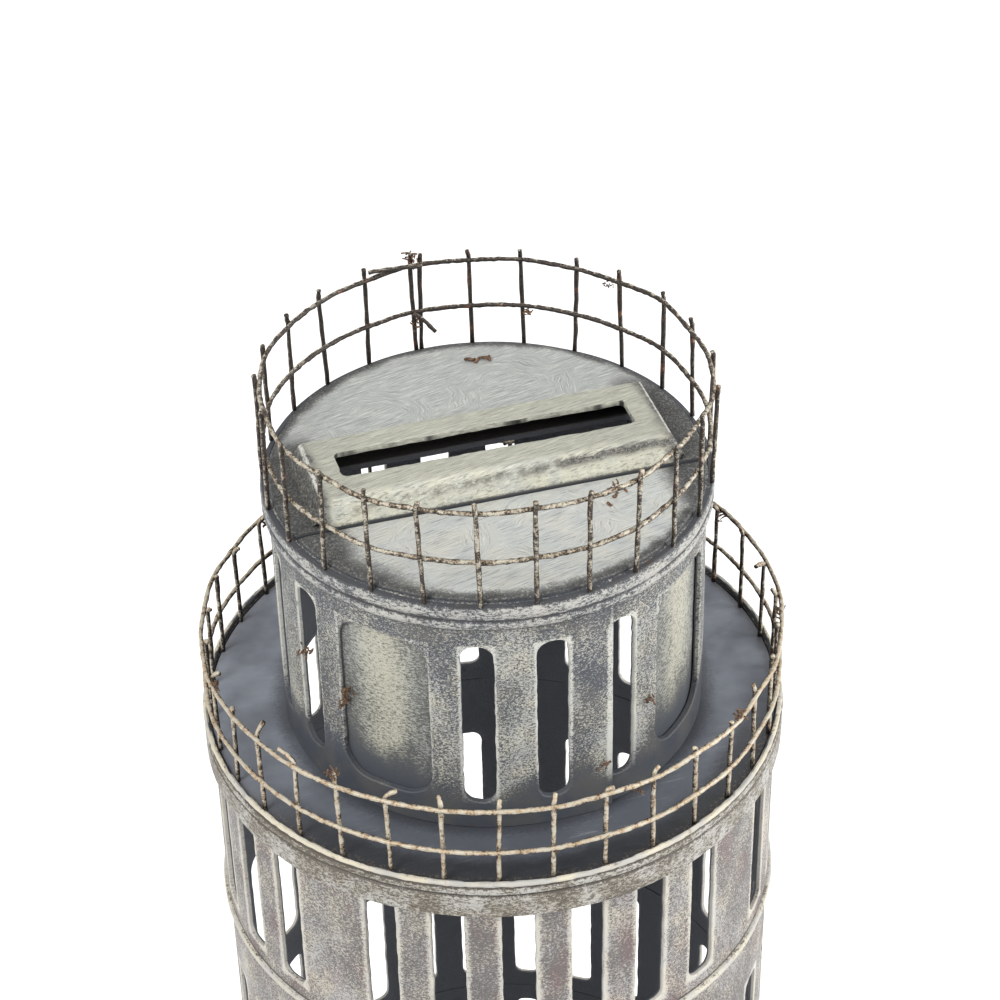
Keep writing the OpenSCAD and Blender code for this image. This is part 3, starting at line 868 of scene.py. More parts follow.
def plain_coat(name, low, high, size, roughness, metallic=0.0, relief=0.03):
    """A finish for small hidden parts: two close tones, fine specks and a soft relief."""
    paint = Paint(name)
    cloud = paint.grain(size, detail=4.0, rough=0.6)
    specks = paint.grain(size * 0.15, detail=2.0)
    colour = paint.blend((cloud * 0.7 + specks * 0.3).ease(0.38, 0.62), low, high)
    return paint.finish(colour, roughness + cloud * 0.12, metallic, cloud + specks, relief)


RIM_PAINT = band_paint("rim_band_paint", tone(58, 60, 64), tone(168, 169, 166), -0.11, -0.08, BELFRY_R + 0.8)
BAND_PAINT = band_paint("terrace_band_paint", tone(78, 71, 62), tone(158, 152, 138),
                        -0.13, 0.02, GALLERY_R + 0.8)
LIP_PAINT = band_paint("terrace_lip_paint", tone(84, 74, 62), tone(192, 184, 164),
                       0.05, 0.06, GALLERY_R + 0.7)
RING_PAINT = band_paint("joint_ring_paint", tone(76, 68, 62), tone(186, 180, 164), 0.0, 0.05, GALLERY_R + 0.5)
CORNICE_PAINT = band_paint("cornice_paint", tone(76, 68, 62), tone(186, 180, 164),
                           0.0, 0.05, ground.outer + 1.0)
BEAD_PAINT = band_paint("base_bead_paint", tone(76, 68, 62), tone(186, 180, 164), 0.0, 0.05, bead_out)
TERRACE_PAINT = slate_paint("terrace_slate_paint", 0.35, BELFRY_R, GALLERY_R)
BASE_PAINT = slate_paint("base_slate_paint", 0.5, ground.outer, span("base_plate", UPRIGHT).outer)
WIRE_PAINT = wire_paint("railing_wire_paint", -0.08)
LOW_WIRE_PAINT = wire_paint("terrace_wire_paint", 0.03)
LINER_PAINT = plain_coat("liner_paint", SLATE, tone(86, 84, 84), 6.0, 0.5)
DOOR_PAINT = plain_coat("door_paint", tone(92, 66, 44), tone(134, 104, 70), 3.0, 0.42, 0.3)
HATCH_PAINT = plain_coat("hatch_paint", tone(70, 74, 80), tone(104, 106, 108), 5.0, 0.38, 0.2)
RIVET_METAL = plain_coat("rivet_metal_paint", tone(120, 108, 90), tone(158, 146, 124), 2.0, 0.35, 0.8)
FELT = plain_coat("felt_nap", tone(38, 38, 42), tone(62, 62, 66), 0.8, 0.85, 0.0, 0.15)
FLOCK = plain_coat("rust_flock", tone(58, 44, 34), tone(116, 86, 62), 0.4, 0.8)
print("bands, plates and wires mixed")

# %% [markdown]
# ## The base
# The bank stands on a shallow round pan: a plate, a rolled skirt and a bead of wire over the joint. The
# skirt's lower edge is turned in, and four felt pads sit on that flange. The skirt is one section
# turned round the axis, with the bends drawn as small rounds.

# %% The base
HOLE_TO_AXIS = 6.0
RIVET_R = 2.0

plate = span("base_plate", UPRIGHT)
skirt = span("base_skirt", UPRIGHT)
bead = span("base_edge_wire", UPRIGHT)
pads = span("foot_pads", UPRIGHT)


def bend_points(x, y, radius, start, stop, count=6):
    """A short arc of a section, from one angle to another in degrees."""
    return [(x + radius * math.cos(math.radians(a)), y + radius * math.sin(math.radians(a)))
            for a in np.linspace(start, stop, count)]


skirt_section = (bend_points(skirt.outer - SHEET, skirt.low + SHEET, SHEET, -90, 0)
                 + [(skirt.outer, skirt.high), (skirt.outer - SHEET, skirt.high),
                    (skirt.outer - SHEET, skirt.low + SHEET), (skirt.inner, skirt.low + SHEET),
                    (skirt.inner, skirt.low)])
shape = Shape()
add_turned(shape, skirt_section, 200, 0.06)
make_piece("base_skirt_shell", shape, BASE_PAINT, ["base_skirt"], place=UPRIGHT)

bead_r = (bead.high - bead.low) / 2
turns = np.linspace(0, 2 * math.pi, 320, endpoint=False)


def circle_path(radius, level, waver=0.0, seed=0.0, count=320):
    turns = np.linspace(0, 2 * math.pi, count, endpoint=False)
    out = radius + waver * np.sin(3 * turns + seed) + waver * 0.6 * np.sin(8 * turns + 2 * seed)
    up = level + waver * 0.7 * np.sin(5 * turns + seed)
    return np.column_stack((out * np.sin(turns), -out * np.cos(turns), up + turns * 0))


shape = Shape()
add_wire(shape, circle_path(bead.outer - bead_r, bead.low + bead_r), bead_r * 0.97,
         closed=True, sides=10, lumps=0.06)
make_piece("base_bead", shape, BEAD_PAINT, ["base_edge_wire"], place=UPRIGHT)

near_hole = plate.points[np.hypot(plate.points[:, 0], plate.points[:, 1]) < plate.outer - 1]
hole_far = near_hole[:, 1].min()
hole_near = -HOLE_TO_AXIS
hole_r = (hole_near - hole_far) / 2
plate_outline = spaced([(plate.outer * math.cos(a), plate.outer * math.sin(a)) for a in turns], 1.2)
coin_hole = round_box(0, (hole_near + hole_far) / 2, 2 * hole_r, 2 * hole_r, hole_r * 0.999, 0.8)
rivet_hole = round_box(0, 0, 2 * RIVET_R, 2 * RIVET_R, RIVET_R * 0.99, 0.4)
shape = Shape()
add_sheet(shape, plate_outline, [ragged(coin_hole, 0.04, 3), rivet_hole],
          bend_flat(plate.high, edge_radius=plate.outer + 2), SHEET, 3.0)
make_piece("base_plate_sheet", shape, BASE_PAINT, ["base_plate"], place=UPRIGHT)

# %% [markdown]
# ## The coin hatch
# Coins come out through a hole in the base plate. A round cover swivels over the hole on one rivet, and
# has a turned-down tab for a finger. These small parts are exact in the CAD model, so they keep their
# CAD shape and only get a finish. The felt pads are worth rebuilding, because felt has soft edges.

# %% The coin hatch


def finish_node(node, material):
    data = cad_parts[node].data
    data.materials.clear()
    data.materials.append(material)


finish_node("coin_hatch", HATCH_PAINT)
finish_node("hatch_rivet", RIVET_METAL)
finish_node("hatch_stops", RIVET_METAL)
pad_ring = (pads.outer + pads.inner) / 2
pad_r = (pads.outer - pads.inner) / 2
shape = Shape()
for corner in range(4):
    angle = math.radians(45 + 90 * corner)
    points = []
    section = [(0.96, 0), (1.0, 0.25), (0.99, 0.75), (0.94, 1.0), (0.5, 1.0)]
    sides = 40
    for reach, rise in section:
        for k in range(sides):
            turn = 2 * math.pi * k / sides
            fluff = 1 + 0.012 * ripple(math.cos(turn) * 9, math.sin(turn) * 9, corner * 7 + rise * 3)
            points.append((pad_ring * math.sin(angle) + pad_r * reach * fluff * math.cos(turn) * 0.985,
                           -pad_ring * math.cos(angle) + pad_r * reach * fluff * math.sin(turn) * 0.985,
                           pads.high * rise))
    faces = [(r * sides + k, r * sides + (k + 1) % sides,
              (r + 1) * sides + (k + 1) % sides, (r + 1) * sides + k)
             for r in range(len(section) - 1) for k in range(sides)]
    faces.append(tuple(range(sides))[::-1])
    faces.append(tuple(range((len(section) - 1) * sides, len(section) * sides)))
    shape.add(points, faces)
make_piece("felt_pads", shape, FELT, ["foot_pads"], place=UPRIGHT, crease=60)

# %% [markdown]
# ## The ground storey
# The lowest storey is taller and has blind arches: openings in the outer sheet with a second sheet
# behind them. One arch holds the door. The tower leans but its base plate doesn't, so the lower edge
# of each sheet is cut on a slant. The bend function does that cut: it stops every point at the plate.

# %% The ground storey
ARCHES = 15
ARCH_OPEN_W = 9.6
DOOR_GAP = 0.3
DOOR_PLANKS = 4
GROOVE_W = 0.22
storey = span("ground_cornice")
plinth = span("plinth_ring")
door = span("ground_door")


def arch_loop(x, low, width, high, step=0.5):
    corners = [(x - width / 2, low), (x + width / 2, low)]
    corners += bend_points(x, high - width / 2, width / 2, 0, 180, 17)
    return spaced(corners, step)


def stand_on_plate(bend, lift=0.0):
    """Cuts a leaning sheet off where it meets the level base plate."""
    slope = math.tan(LEAN)

    def cut(u, v, depth):
        points = bend(u, v, depth)
        floor = points[:, 1] * slope + lift
        points[:, 2] = np.maximum(points[:, 2], floor)
        return points

    return cut


def wall_outline(radius, low, high, start=-math.pi, stop=math.pi, gap=0.04, step=0.6):
    return spaced([(start * radius + gap, low), (stop * radius - gap, low),
                   (stop * radius - gap, high), (start * radius + gap, high)], step)


dip = ground.outer * math.tan(LEAN) + 0.02
arches = []
for number in range(-(ARCHES // 2), ARCHES - ARCHES // 2):
    x = number * 2 * math.pi / ARCHES * ground.outer
    if abs(x) + ARCH_OPEN_W / 2 < math.pi * ground.outer:
        arches.append(ragged(arch_loop(x, door.low, ARCH_OPEN_W, door.high + 0.3), 0.05, number))
shape = Shape()
add_sheet(shape, wall_outline(ground.outer, -dip, ground.high), arches,
          stand_on_plate(bend_round(ground.outer, 0.0, 1.0)), SHEET, 1.6)
make_piece("ground_wall", shape, GROUND_PAINT, ["ground_drum"])
shape = Shape()
add_sheet(shape, wall_outline(liner.outer, -dip, ground.high, step=1.5), [],
          stand_on_plate(bend_round(liner.outer, 0.0, 1.0)), SHEET, 2.5)
make_piece("ground_lining", shape, LINER_PAINT, ["ground_liner"])

# %% [markdown]
# ### Door, foot ring and cornice
# The door is an arched plate with planks scored into it and a round knob. The scored lines are real
# grooves: rows of points close together, pushed in. The cornice and the foot ring are turned sections.

# %% Door, foot ring and cornice
door_w = ARCH_OPEN_W - 2 * DOOR_GAP
plank = door_w / DOOR_PLANKS


def door_bend(u, v, depth):
    groove = np.abs(((u + door_w / 2) / plank + 0.5) % 1 - 0.5) * plank
    depth = depth + GROOVE_W * np.clip(1 - groove / GROOVE_W, 0, 1) * (depth < 0.3)
    angle = u / door.outer
    out = door.outer - depth
    return np.column_stack((out * np.sin(angle), -out * np.cos(angle), v))


shape = Shape()
add_sheet(shape, arch_loop(0, door.low + 0.05, door_w, door.high, 0.3), [], door_bend,
          door.outer - liner.outer, 0.3)
knob = np.array([door_w / 4, -door.outer - 0.25, (door.low + door.high) / 2])
add_wire(shape, [knob + (0, 0.35, 0), knob - (0, 0.05, 0), knob - (0, 0.3, 0)], 0.55, sides=12)
make_piece("ground_door_leaf", shape, DOOR_PAINT, ["ground_door"], crease=50)

shape = Shape()
steps = 220
points = []
ring_section = [(plinth.inner, None), (plinth.outer, None), (plinth.outer, plinth.high - 0.8),
                (plinth.outer - 0.3, plinth.high - 0.25), (plinth.outer - 0.8, plinth.high),
                (plinth.inner, plinth.high)]
for step in range(steps):
    turn = 2 * math.pi * step / steps
    for reach, level in ring_section:
        north = -reach * math.cos(turn)
        points.append((reach * math.sin(turn), north, north * math.tan(LEAN) if level is None else level))
size = len(ring_section)
faces = [(s * size + k, (s + 1) % steps * size + k,
          (s + 1) % steps * size + (k + 1) % size, s * size + (k + 1) % size)
         for s in range(steps) for k in range(size)]
shape.add(points, faces)
make_piece("foot_ring", shape, GROUND_PAINT, ["plinth_ring"])

shape = Shape()
cornice_mid = (storey.low + storey.high) / 2
cornice_section = ([(storey.inner, storey.low), (storey.outer - 1.0, storey.low)]
                   + bend_points(storey.outer - 0.5, cornice_mid - 0.25, 0.5, -90, 60, 6)
                   + [(storey.outer - 0.45, storey.high), (storey.inner, storey.high)])
add_turned(shape, cornice_section, 240, 0.05)
make_piece("cornice_ring", shape, CORNICE_PAINT, ["ground_cornice"])

# %% [markdown]
# ## The galleries
# Six drums of the same pattern stand on each other. Each is one sheet, pierced flat and rolled up. A
# short row of slots faces the front between two wide bars, and a long row runs round the back to the
# seam, in a plain strip at the back left. The fifth drum ends in a plain neck, which holds the top one.
# The top drums are in plain view and are cut finely; the lower ones use a longer step.

# %% The galleries


def gallery_slots(radius, low, seed, step):
    loops = []
    height = GALLERY_H - SLOT_HEAD - SLOT_SILL
    for row, (middle, pitch, count) in enumerate(ROWS):
        for k in range(count):
            angle = middle + (k - (count - 1) / 2) * pitch
            if angle > SEAM_ANGLE:
                angle -= 2 * math.pi
            loop = round_box(angle * radius, low + SLOT_SILL + height / 2, SLOT_W, height,
                             SLOT_W * 0.36, step)
            loops.append(ragged(loop, 0.10, seed + k * 3 + row * 50))
    return loops


SEAM_ANGLE = math.radians(248)
for number in range(1, 7):
    drum = span(f"gallery_drum_{number}")
    fine = number >= 5
    slots = gallery_slots(GALLERY_R, drum.low, number * 11.0, 0.4 if fine else 0.8)
    shape = Shape()
    seam_start, seam_stop = SEAM_ANGLE - 2 * math.pi, SEAM_ANGLE
    outline = wall_outline(GALLERY_R, drum.low + 0.06, drum.high - 0.06, seam_start, seam_stop, step=0.5)
    add_sheet(shape, ragged(outline, 0.03, number), slots, bend_round(GALLERY_R, 0.08, number * 1.7), SHEET,
              1.3 if fine else 2.0)
    finish = {6: TOP_GALLERY_PAINT, 5: NECK_GALLERY_PAINT}.get(number, LOW_GALLERY_PAINT)
    make_piece(f"gallery_wall_{number}", shape, finish, [f"gallery_drum_{number}"])

# %% [markdown]
# ### Joint rings
# A half-round bead hides each joint between two drums. It was pushed on by hand and sits a little
# unevenly. The dark line that runs above it is painted shadow on the foot of the drum above.

# %% Joint rings
for number in range(1, 6):
    ring = span(f"joint_ring_{number}")
    level = (ring.low + ring.high) / 2
    out = ring.outer - ring.inner
    section = bend_points(ring.inner + 0.02, level - 0.12, out * 0.86, -88, 88, 9)
    section += [(ring.inner - 0.1, level + out * 0.7), (ring.inner - 0.1, level - out * 0.9)]
    shape = Shape()
    add_turned(shape, section, 260, 0.07, number * 5.0)
    make_piece(f"joint_bead_{number}", shape, RING_PAINT, [f"joint_ring_{number}"])

# %% [markdown]
# ## The terrace
# The terrace is a flat ring on the top gallery, held in a rolled band with a wire over its upper edge.
# The band's section has a groove, where the sheet was beaded to stiffen it.

# %% The terrace
shape = Shape()
terrace_outline = spaced([((terrace.outer - 0.1) * math.cos(a), (terrace.outer - 0.1) * math.sin(a))
                          for a in turns], 0.7)
terrace_hole = spaced([(terrace.inner * math.cos(a), terrace.inner * math.sin(a)) for a in turns], 0.7)
add_sheet(shape, terrace_outline, [terrace_hole],
          bend_flat(terrace.high, 0.0, terrace.outer, sway=0.03), SHEET, 1.2)
make_piece("terrace_floor", shape, TERRACE_PAINT, ["terrace_plate"])


def band_section(low, high, inner, outer):
    """A beaded strip: a proud lower part, a groove, and a rounded top edge."""
    groove = high - 1.2
    return ([(inner, low), (outer - 0.25, low), (outer, low + 0.25), (outer - 0.04, groove - 0.35)]
            + [(outer - 0.26, groove - 0.12), (outer - 0.26, groove + 0.08)]
            + [(outer - 0.02, groove + 0.3), (outer - 0.05, high - 0.3), (outer - 0.3, high), (inner, high)])


band = span("terrace_band")
lip = span("terrace_lip_wire")
lip_r = (lip.high - lip.low) / 2
shape = Shape()
add_turned(shape, band_section(band.low, band.high, band.inner, band.outer), 300, 0.08, 2.0)
make_piece("terrace_band_strip", shape, BAND_PAINT, ["terrace_band"])
shape = Shape()
add_wire(shape, circle_path(lip.outer - lip_r - 0.08, lip.low + lip_r, 0.05, 1.0, 420), lip_r * 0.85,
         closed=True, sides=9, lumps=0.25)
make_piece("terrace_lip", shape, LIP_PAINT, ["terrace_lip_wire"])

# %% [markdown]
# ## The belfry
# The belfry's wall was rolled from one sheet whose end laps over its start, so one upright edge shows
# between two of the slots. The bend function adds that lap: the sheet's start dips and its end rises.
# The four large openings are closed by plates behind them.

# %% The belfry
LAP = math.radians(6)
BACKING_LAP = 1.2


def lap_step(angle):
    start = math.degrees(LAP_END - LAP)
    dip_part = -0.5 * np.clip(1 - (angle - start) / 14, 0, 1) ** 2
    rise_part = 0.34 * np.clip((angle - (math.degrees(LAP_END) + 360 - 16)) / 10, 0, 1) ** 2
    return dip_part + rise_part


belfry_h = belfry.high - belfry.low
arch_h = belfry_h - ARCH_HEAD - ARCH_SILL
wall_start = LAP_END - LAP
wall_stop = LAP_END + 2 * math.pi
openings = []
for quarter in range(0, 5):
    for k in (-1, 0, 1):
        angle = quarter * QUARTER + k * ARCH_PITCH
        reach = angle * BELFRY_R
        if (reach - ARCH_W / 2 > wall_start * BELFRY_R + 0.3
                and reach + ARCH_W / 2 < wall_stop * BELFRY_R - 0.3):
            loop = round_box(reach, belfry.low + ARCH_SILL + arch_h / 2, ARCH_W, arch_h, ARCH_W * 0.42, 0.35)
            openings.append(ragged(loop, 0.11, quarter * 7 + k * 2))
    centre = (quarter + 0.5) * QUARTER * BELFRY_R
    if quarter < 4:
        loop = round_box(centre, belfry.low + ARCH_SILL + arch_h / 2, PANEL_W, arch_h, PANEL_CORNER, 0.4)
        openings.append(ragged(loop, 0.07, quarter * 5 + 60))
shape = Shape()
outline = ragged(wall_outline(BELFRY_R, belfry.low, belfry.high, wall_start, wall_stop, 0.0, 0.4), 0.05, 8)
add_sheet(shape, outline, openings, bend_round(BELFRY_R, 0.08, 0.6, lap_step), SHEET, 1.0, 0.12)
make_piece("belfry_sheet", shape, BELFRY_PAINT, ["belfry_wall"])

backs = span("belfry_panels")
shape = Shape()
for quarter in range(4):
    centre = (quarter + 0.5) * QUARTER * backs.outer
    width = PANEL_W + 2 * BACKING_LAP
    loop = round_box(centre, (backs.low + backs.high) / 2, width, backs.high - backs.low, 0.8, 0.8)
    add_sheet(shape, loop, [], bend_round(backs.outer - 0.08, 0.1, quarter + 3.0), SHEET * 0.8, 1.1)
make_piece("belfry_backing", shape, PANEL_PAINT, ["belfry_panels"])

rim = span("belfry_rim_band")
shape = Shape()
rim_section = ([(rim.inner, rim.low), (rim.outer - 0.35, rim.low), (rim.outer - 0.1, rim.low + 0.3)]
               + [(rim.outer, rim.low + 1.0), (rim.outer - 0.22, rim.low + 1.45),
                  (rim.outer - 0.05, rim.low + 1.9)]
               + [(rim.outer, rim.high - 0.5), (rim.outer - 0.25, rim.high), (rim.inner, rim.high)])
add_turned(shape, rim_section, 300, 0.07, 9.0)
make_piece("belfry_rim", shape, RIM_PAINT, ["belfry_rim_band"])

# %% [markdown]
# ## The roof
# The roof is two plates that meet in a straight seam in front of the coin box. Their rim droops a
# little where it was dressed down over the wall. The seam stays open, and a painted shadow darkens it to a
# thin line.

# %% The roof
roof_r = roof.outer
hole_points = roof.points[(np.abs(roof.points[:, 1]) < -seam_back - 1)
                          & (np.abs(roof.points[:, 0]) < roof_r - 4)]
roof_hole_w = 2 * np.abs(hole_points[:, 1]).max()
roof_hole_l = 2 * np.abs(hole_points[:, 0]).max()


def part_of_disc(radius, line, behind):
    """The part of a disc behind, or in front of, a straight line across it."""
    reach = math.degrees(math.asin(line / radius))
    start, stop = (reach, 180 - reach) if behind else (180 - reach, 360 + reach)
    return spaced(bend_points(0, 0, radius, start, stop, 120), 0.5)


shape = Shape()
rear_outline = ragged(part_of_disc(roof_r, seam_back, True), 0.05, 4)
roof_hole = ragged(round_box(0, 0, roof_hole_l, roof_hole_w, 0.6, 0.6), 0.05, 5)
add_sheet(shape, rear_outline, [roof_hole], bend_flat(roof.high, 0.18, roof_r, 0.03), SHEET, 1.0, 0.12)
make_piece("roof_plate_rear", shape, ROOF_PAINT, ["roof_disc"])
shape = Shape()
front_outline = ragged(part_of_disc(roof_r, seam_front, False), 0.06, 6)
lay_front = bend_flat(roof.high - 0.06, 0.18, roof_r, 0.03, 2.0)


def dip_at_seam(u, v, depth):
    """The front plate sinks a little along the seam, which leaves a shadow under the coin box."""
    points = lay_front(u, v, depth)
    near = np.clip(1 - (seam_front - v) / 0.8, 0, 1)
    points[:, 2] -= 0.15 * near ** 2
    return points


add_sheet(shape, front_outline, [], dip_at_seam, SHEET - 0.06, 0.9, 0.12)
make_piece("roof_plate_front", shape, ROOF_PAINT, ["roof_front_plate"])

# %% [markdown]
# ### The coin box
# The raised box is one sheet folded down on all four sides, with the coin slot cut in its top. Its
# height depends only on how far a point is from the edge of its footprint, which rises quickly, turns
# through a soft bend and stays flat. So the flat sheet tool makes it, with a bend that lifts it.

# %% The coin box
box_h = box.high - box.low


def soft_least(first, second, blend):
    """The smaller of two values, with a round where they cross."""
    near = np.maximum(blend - np.abs(first - second), 0) / blend
    return np.minimum(first, second) - near ** 2 * blend / 4


def box_bend(u, v, depth):
    """Lifts the sheet into a box: steep long sides, sloping ends and a flat top."""
    side = (foot_w / 2 - np.abs(v)) / SIDE_RUN
    end = (foot_l / 2 - np.abs(u)) / END_RUN
    rise = soft_least(soft_least(side, end, 0.12), np.ones_like(side), 0.2)
    dents = 0.05 * np.sin(u / 3.1) * np.sin(v / 2.3 + 1) + 0.04 * np.sin(u / 7 + 2) - 0.09
    level = box.low + (box_h + dents) * np.clip(rise, 0, 1)
    inward = np.clip(1 - side, 0, 1) * depth * 0.8
    toward = np.clip(1 - end, 0, 1) * depth * 0.6
    return np.column_stack((u - np.sign(u) * toward, v - np.sign(v) * inward,
                            np.maximum(level - depth, box.low)))


shape = Shape()
foot = round_box(0, 0, foot_l, foot_w, 1.4, 0.4)
slot = ragged(round_box(0, coin_slot_mid, COIN_SLOT_L, COIN_SLOT_W, 0.9, 0.3), 0.12, 12)
add_sheet(shape, foot, [slot], box_bend, SHEET, 0.25, 0.06)
make_piece("coin_box_shell", shape, BOX_PAINT, ["coin_box"], crease=60)

# %% [markdown]
# ## The railings
# Both railings are strips of welded wire mesh, rolled into hoops. Up close the hoops are bent slightly
# at every weld, the stakes lean, and their cut tips point all ways. So each weld gets its own small
# offset, and both the hoop and its stake go through it. The roof's strip meets itself at the back left.

# %% The railings


CELL_TURN = 0.24  # about one cell of the roof's mesh, in radians


def hoop_path(radius, level, angles, offsets, scale, per_cell=12):
    """A closed path that dips and bulges through every weld."""
    path = []
    for k, angle in enumerate(angles):
        here, there = offsets[k], offsets[(k + 1) % len(angles)]
        ahead = (angles[(k + 1) % len(angles)] - angle) % (2 * math.pi)
        steps = max(2, round(per_cell * ahead / CELL_TURN))
        for step in range(steps):
            share = step / steps
            soft = share * share * (3 - 2 * share)
            out, up, side = [(here[axis] + (there[axis] - here[axis]) * soft) * scale for axis in range(3)]
            turn = angle + ahead * share + side / radius
            path.append(((radius + out) * math.sin(turn), -(radius + out) * math.cos(turn), level + up))
    return path


def stake_path(radius, low, welds, top, turn, swing, tip_out, tip_side, tip_curl):
    """A stake from its foot through its two welds to a bent tip."""
    levels = [low] + [level for level, _ in welds]
    outs = [0.0] + [out for _, out in welds]
    path = []
    for level in np.linspace(low, levels[-1], 9):
        share = (level - low) / (levels[-1] - low)
        reach = radius + np.interp(level, levels, outs)
        angle = turn + swing * share / radius
        path.append(np.array((reach * math.sin(angle), -reach * math.cos(angle), level)))
    out_way = np.array((math.sin(turn), -math.cos(turn), 0.0))
    side_way = np.array((math.cos(turn), math.sin(turn), 0.0))
    length = top - levels[-1]
    for step in range(1, 6):
        share = step / 5
        lean = share ** 1.3
        path.append(path[8] + (out_way * tip_out + side_way * tip_side) * lean * length
                    + np.array((0, 0, 1.0)) * length * (share - tip_curl * share ** 2))
    return path


def build_railing(name, hoops_node, stakes_node, angles, seed, jitter, tip, finish, extra=()):
    hoops, stakes = span(hoops_node), span(stakes_node)
    wire = (hoops.outer - hoops.inner) / 2
    hoop_r = (hoops.outer + hoops.inner) / 2
    stake_r = (stakes.outer + stakes.inner) / 2
    top = hoops.high - wire
    bottom = hoops.low + wire
    offsets = [[jitter * amount * ripple(k * size, seed + shift) for amount, size, shift in
                ((0.8, 2.3, 0), (1.0, 2.9, 5), (1.3, 1.7, 11))] for k in range(len(angles))]
    hoop_shape, stake_shape = Shape(), Shape()
    add_wire(hoop_shape, hoop_path(hoop_r, top, angles, offsets, 1.0), wire * 0.97, closed=True, lumps=0.4)
    add_wire(hoop_shape, hoop_path(hoop_r, bottom, angles, offsets, 0.6), wire * 0.97, closed=True, lumps=0.4)
    for path in extra:
        add_wire(hoop_shape, path, wire * 0.9, lumps=0.4)
    for k, turn in enumerate(angles):
        out, up, side = offsets[k]
        tip_out, tip_side, tip_curl = tip(k)
        reach_top = stakes.high - 0.3 - 0.6 * abs(ripple(k * 3.1, seed + 2))
        path = stake_path(stake_r, stakes.low, [(bottom + up * 0.6, out * 0.6), (top + up, out)], reach_top,
                          turn, side, tip_out, tip_side, tip_curl)
        add_wire(stake_shape, path, wire * 0.95, lumps=0.4)
    make_piece(name + "_hoops", hoop_shape, finish, [hoops_node], crease=70)
    make_piece(name + "_stakes", stake_shape, finish, [stakes_node], crease=70)


def roof_tip(k):
    return 0.3 * ripple(k * 1.9, 3), 0.5 * ripple(k * 2.7, 8), 0.0


def terrace_tip(k):
    return -0.3 + 1.6 * ripple(k * 1.9, 33), 3.0 * ripple(k * 2.7, 38), 0.15 + 0.9 * abs(ripple(k * 1.3, 44))


def place_at(degrees, reach, level):
    """A point from its angle round the tower, its distance from the axis and its height."""
    turn = math.radians(degrees)
    return (reach * math.sin(turn), -reach * math.cos(turn), level)


roof_hoops = span("roof_rail_hoops")
roof_stakes = span("roof_rail_stakes")
hoop_wire = (roof_hoops.outer - roof_hoops.inner) / 2
hoop_mid = roof_hoops.outer - hoop_wire
stake_mid = (roof_stakes.outer + roof_stakes.inner) / 2
rail_top = roof_hoops.high - hoop_wire
rail_low = roof_hoops.low + hoop_wire
ROOF_STAKES = 26
ROOF_SEAM = 183.3
SEAM_CLEAR = 0.1
TIGHT_FRONT = math.radians(1.3)
seam_lap = math.degrees(2 * math.asin((2 * hoop_wire + SEAM_CLEAR) / (2 * stake_mid)))
roof_pitch = (360 - seam_lap) / (ROOF_STAKES - 1)
even_angles = [math.radians(ROOF_SEAM + k * roof_pitch) for k in range(ROOF_STAKES)]
roof_angles = [turn - TIGHT_FRONT * (math.sin(turn) + math.sin(2 * turn)) for turn in even_angles]
loose_ends = [
    [place_at(ROOF_SEAM - 2 + 16 * t, hoop_mid - 0.4 - 0.3 * t, rail_top + 0.1 + 1.3 * t)
     for t in np.linspace(0, 1, 12)],
    [place_at(ROOF_SEAM + 1 - 5.5 * t, hoop_mid - 0.5 - 1.2 * t, rail_low + 0.1 - 2.3 * t ** 1.4)
     for t in np.linspace(0, 1, 9)]]
build_railing("roof_railing", "roof_rail_hoops", "roof_rail_stakes", roof_angles, 2.0, 0.7,
              roof_tip, WIRE_PAINT, loose_ends)
TERRACE_STAKES = 35
TERRACE_TURN = -5.0
terrace_angles = [math.radians(TERRACE_TURN + k * 360 / TERRACE_STAKES) for k in range(TERRACE_STAKES)]
build_railing("terrace_railing", "terrace_rail_hoops", "terrace_rail_stakes", terrace_angles, 17.0, 0.6,
              terrace_tip, LOW_WIRE_PAINT)

# %% [markdown]
# ### Rust crumbs and flock
# Tufts of rust and fluff cling to corners and wire ends. Each tuft is a knot of short curly strands
# round one spot, and each flake is one lumpy crumb on the roof. They are the smallest parts in the
# model, and they help the eye judge its size.

# %% Rust crumbs and flock


def add_tuft(shape, spot, out_way, size, strands, seed):
    for strand in range(strands):
        wobble = [ripple(strand * 1.7, seed + axis * 7.1) for axis in range(6)]
        way = np.array(out_way) * 0.2 + np.array(wobble[:3]) * 2.0
        curl = np.cross(way, wobble[3:]) * 5.0
        start = np.array(spot) + size * np.array(wobble[3:]) * 1.1
        path = [start + size * (t * way + t * t * curl) for t in np.linspace(0, 0.42, 6)]
        add_wire(shape, path, size * (0.07 + 0.12 * abs(wobble[0])), sides=5, lumps=0.6)


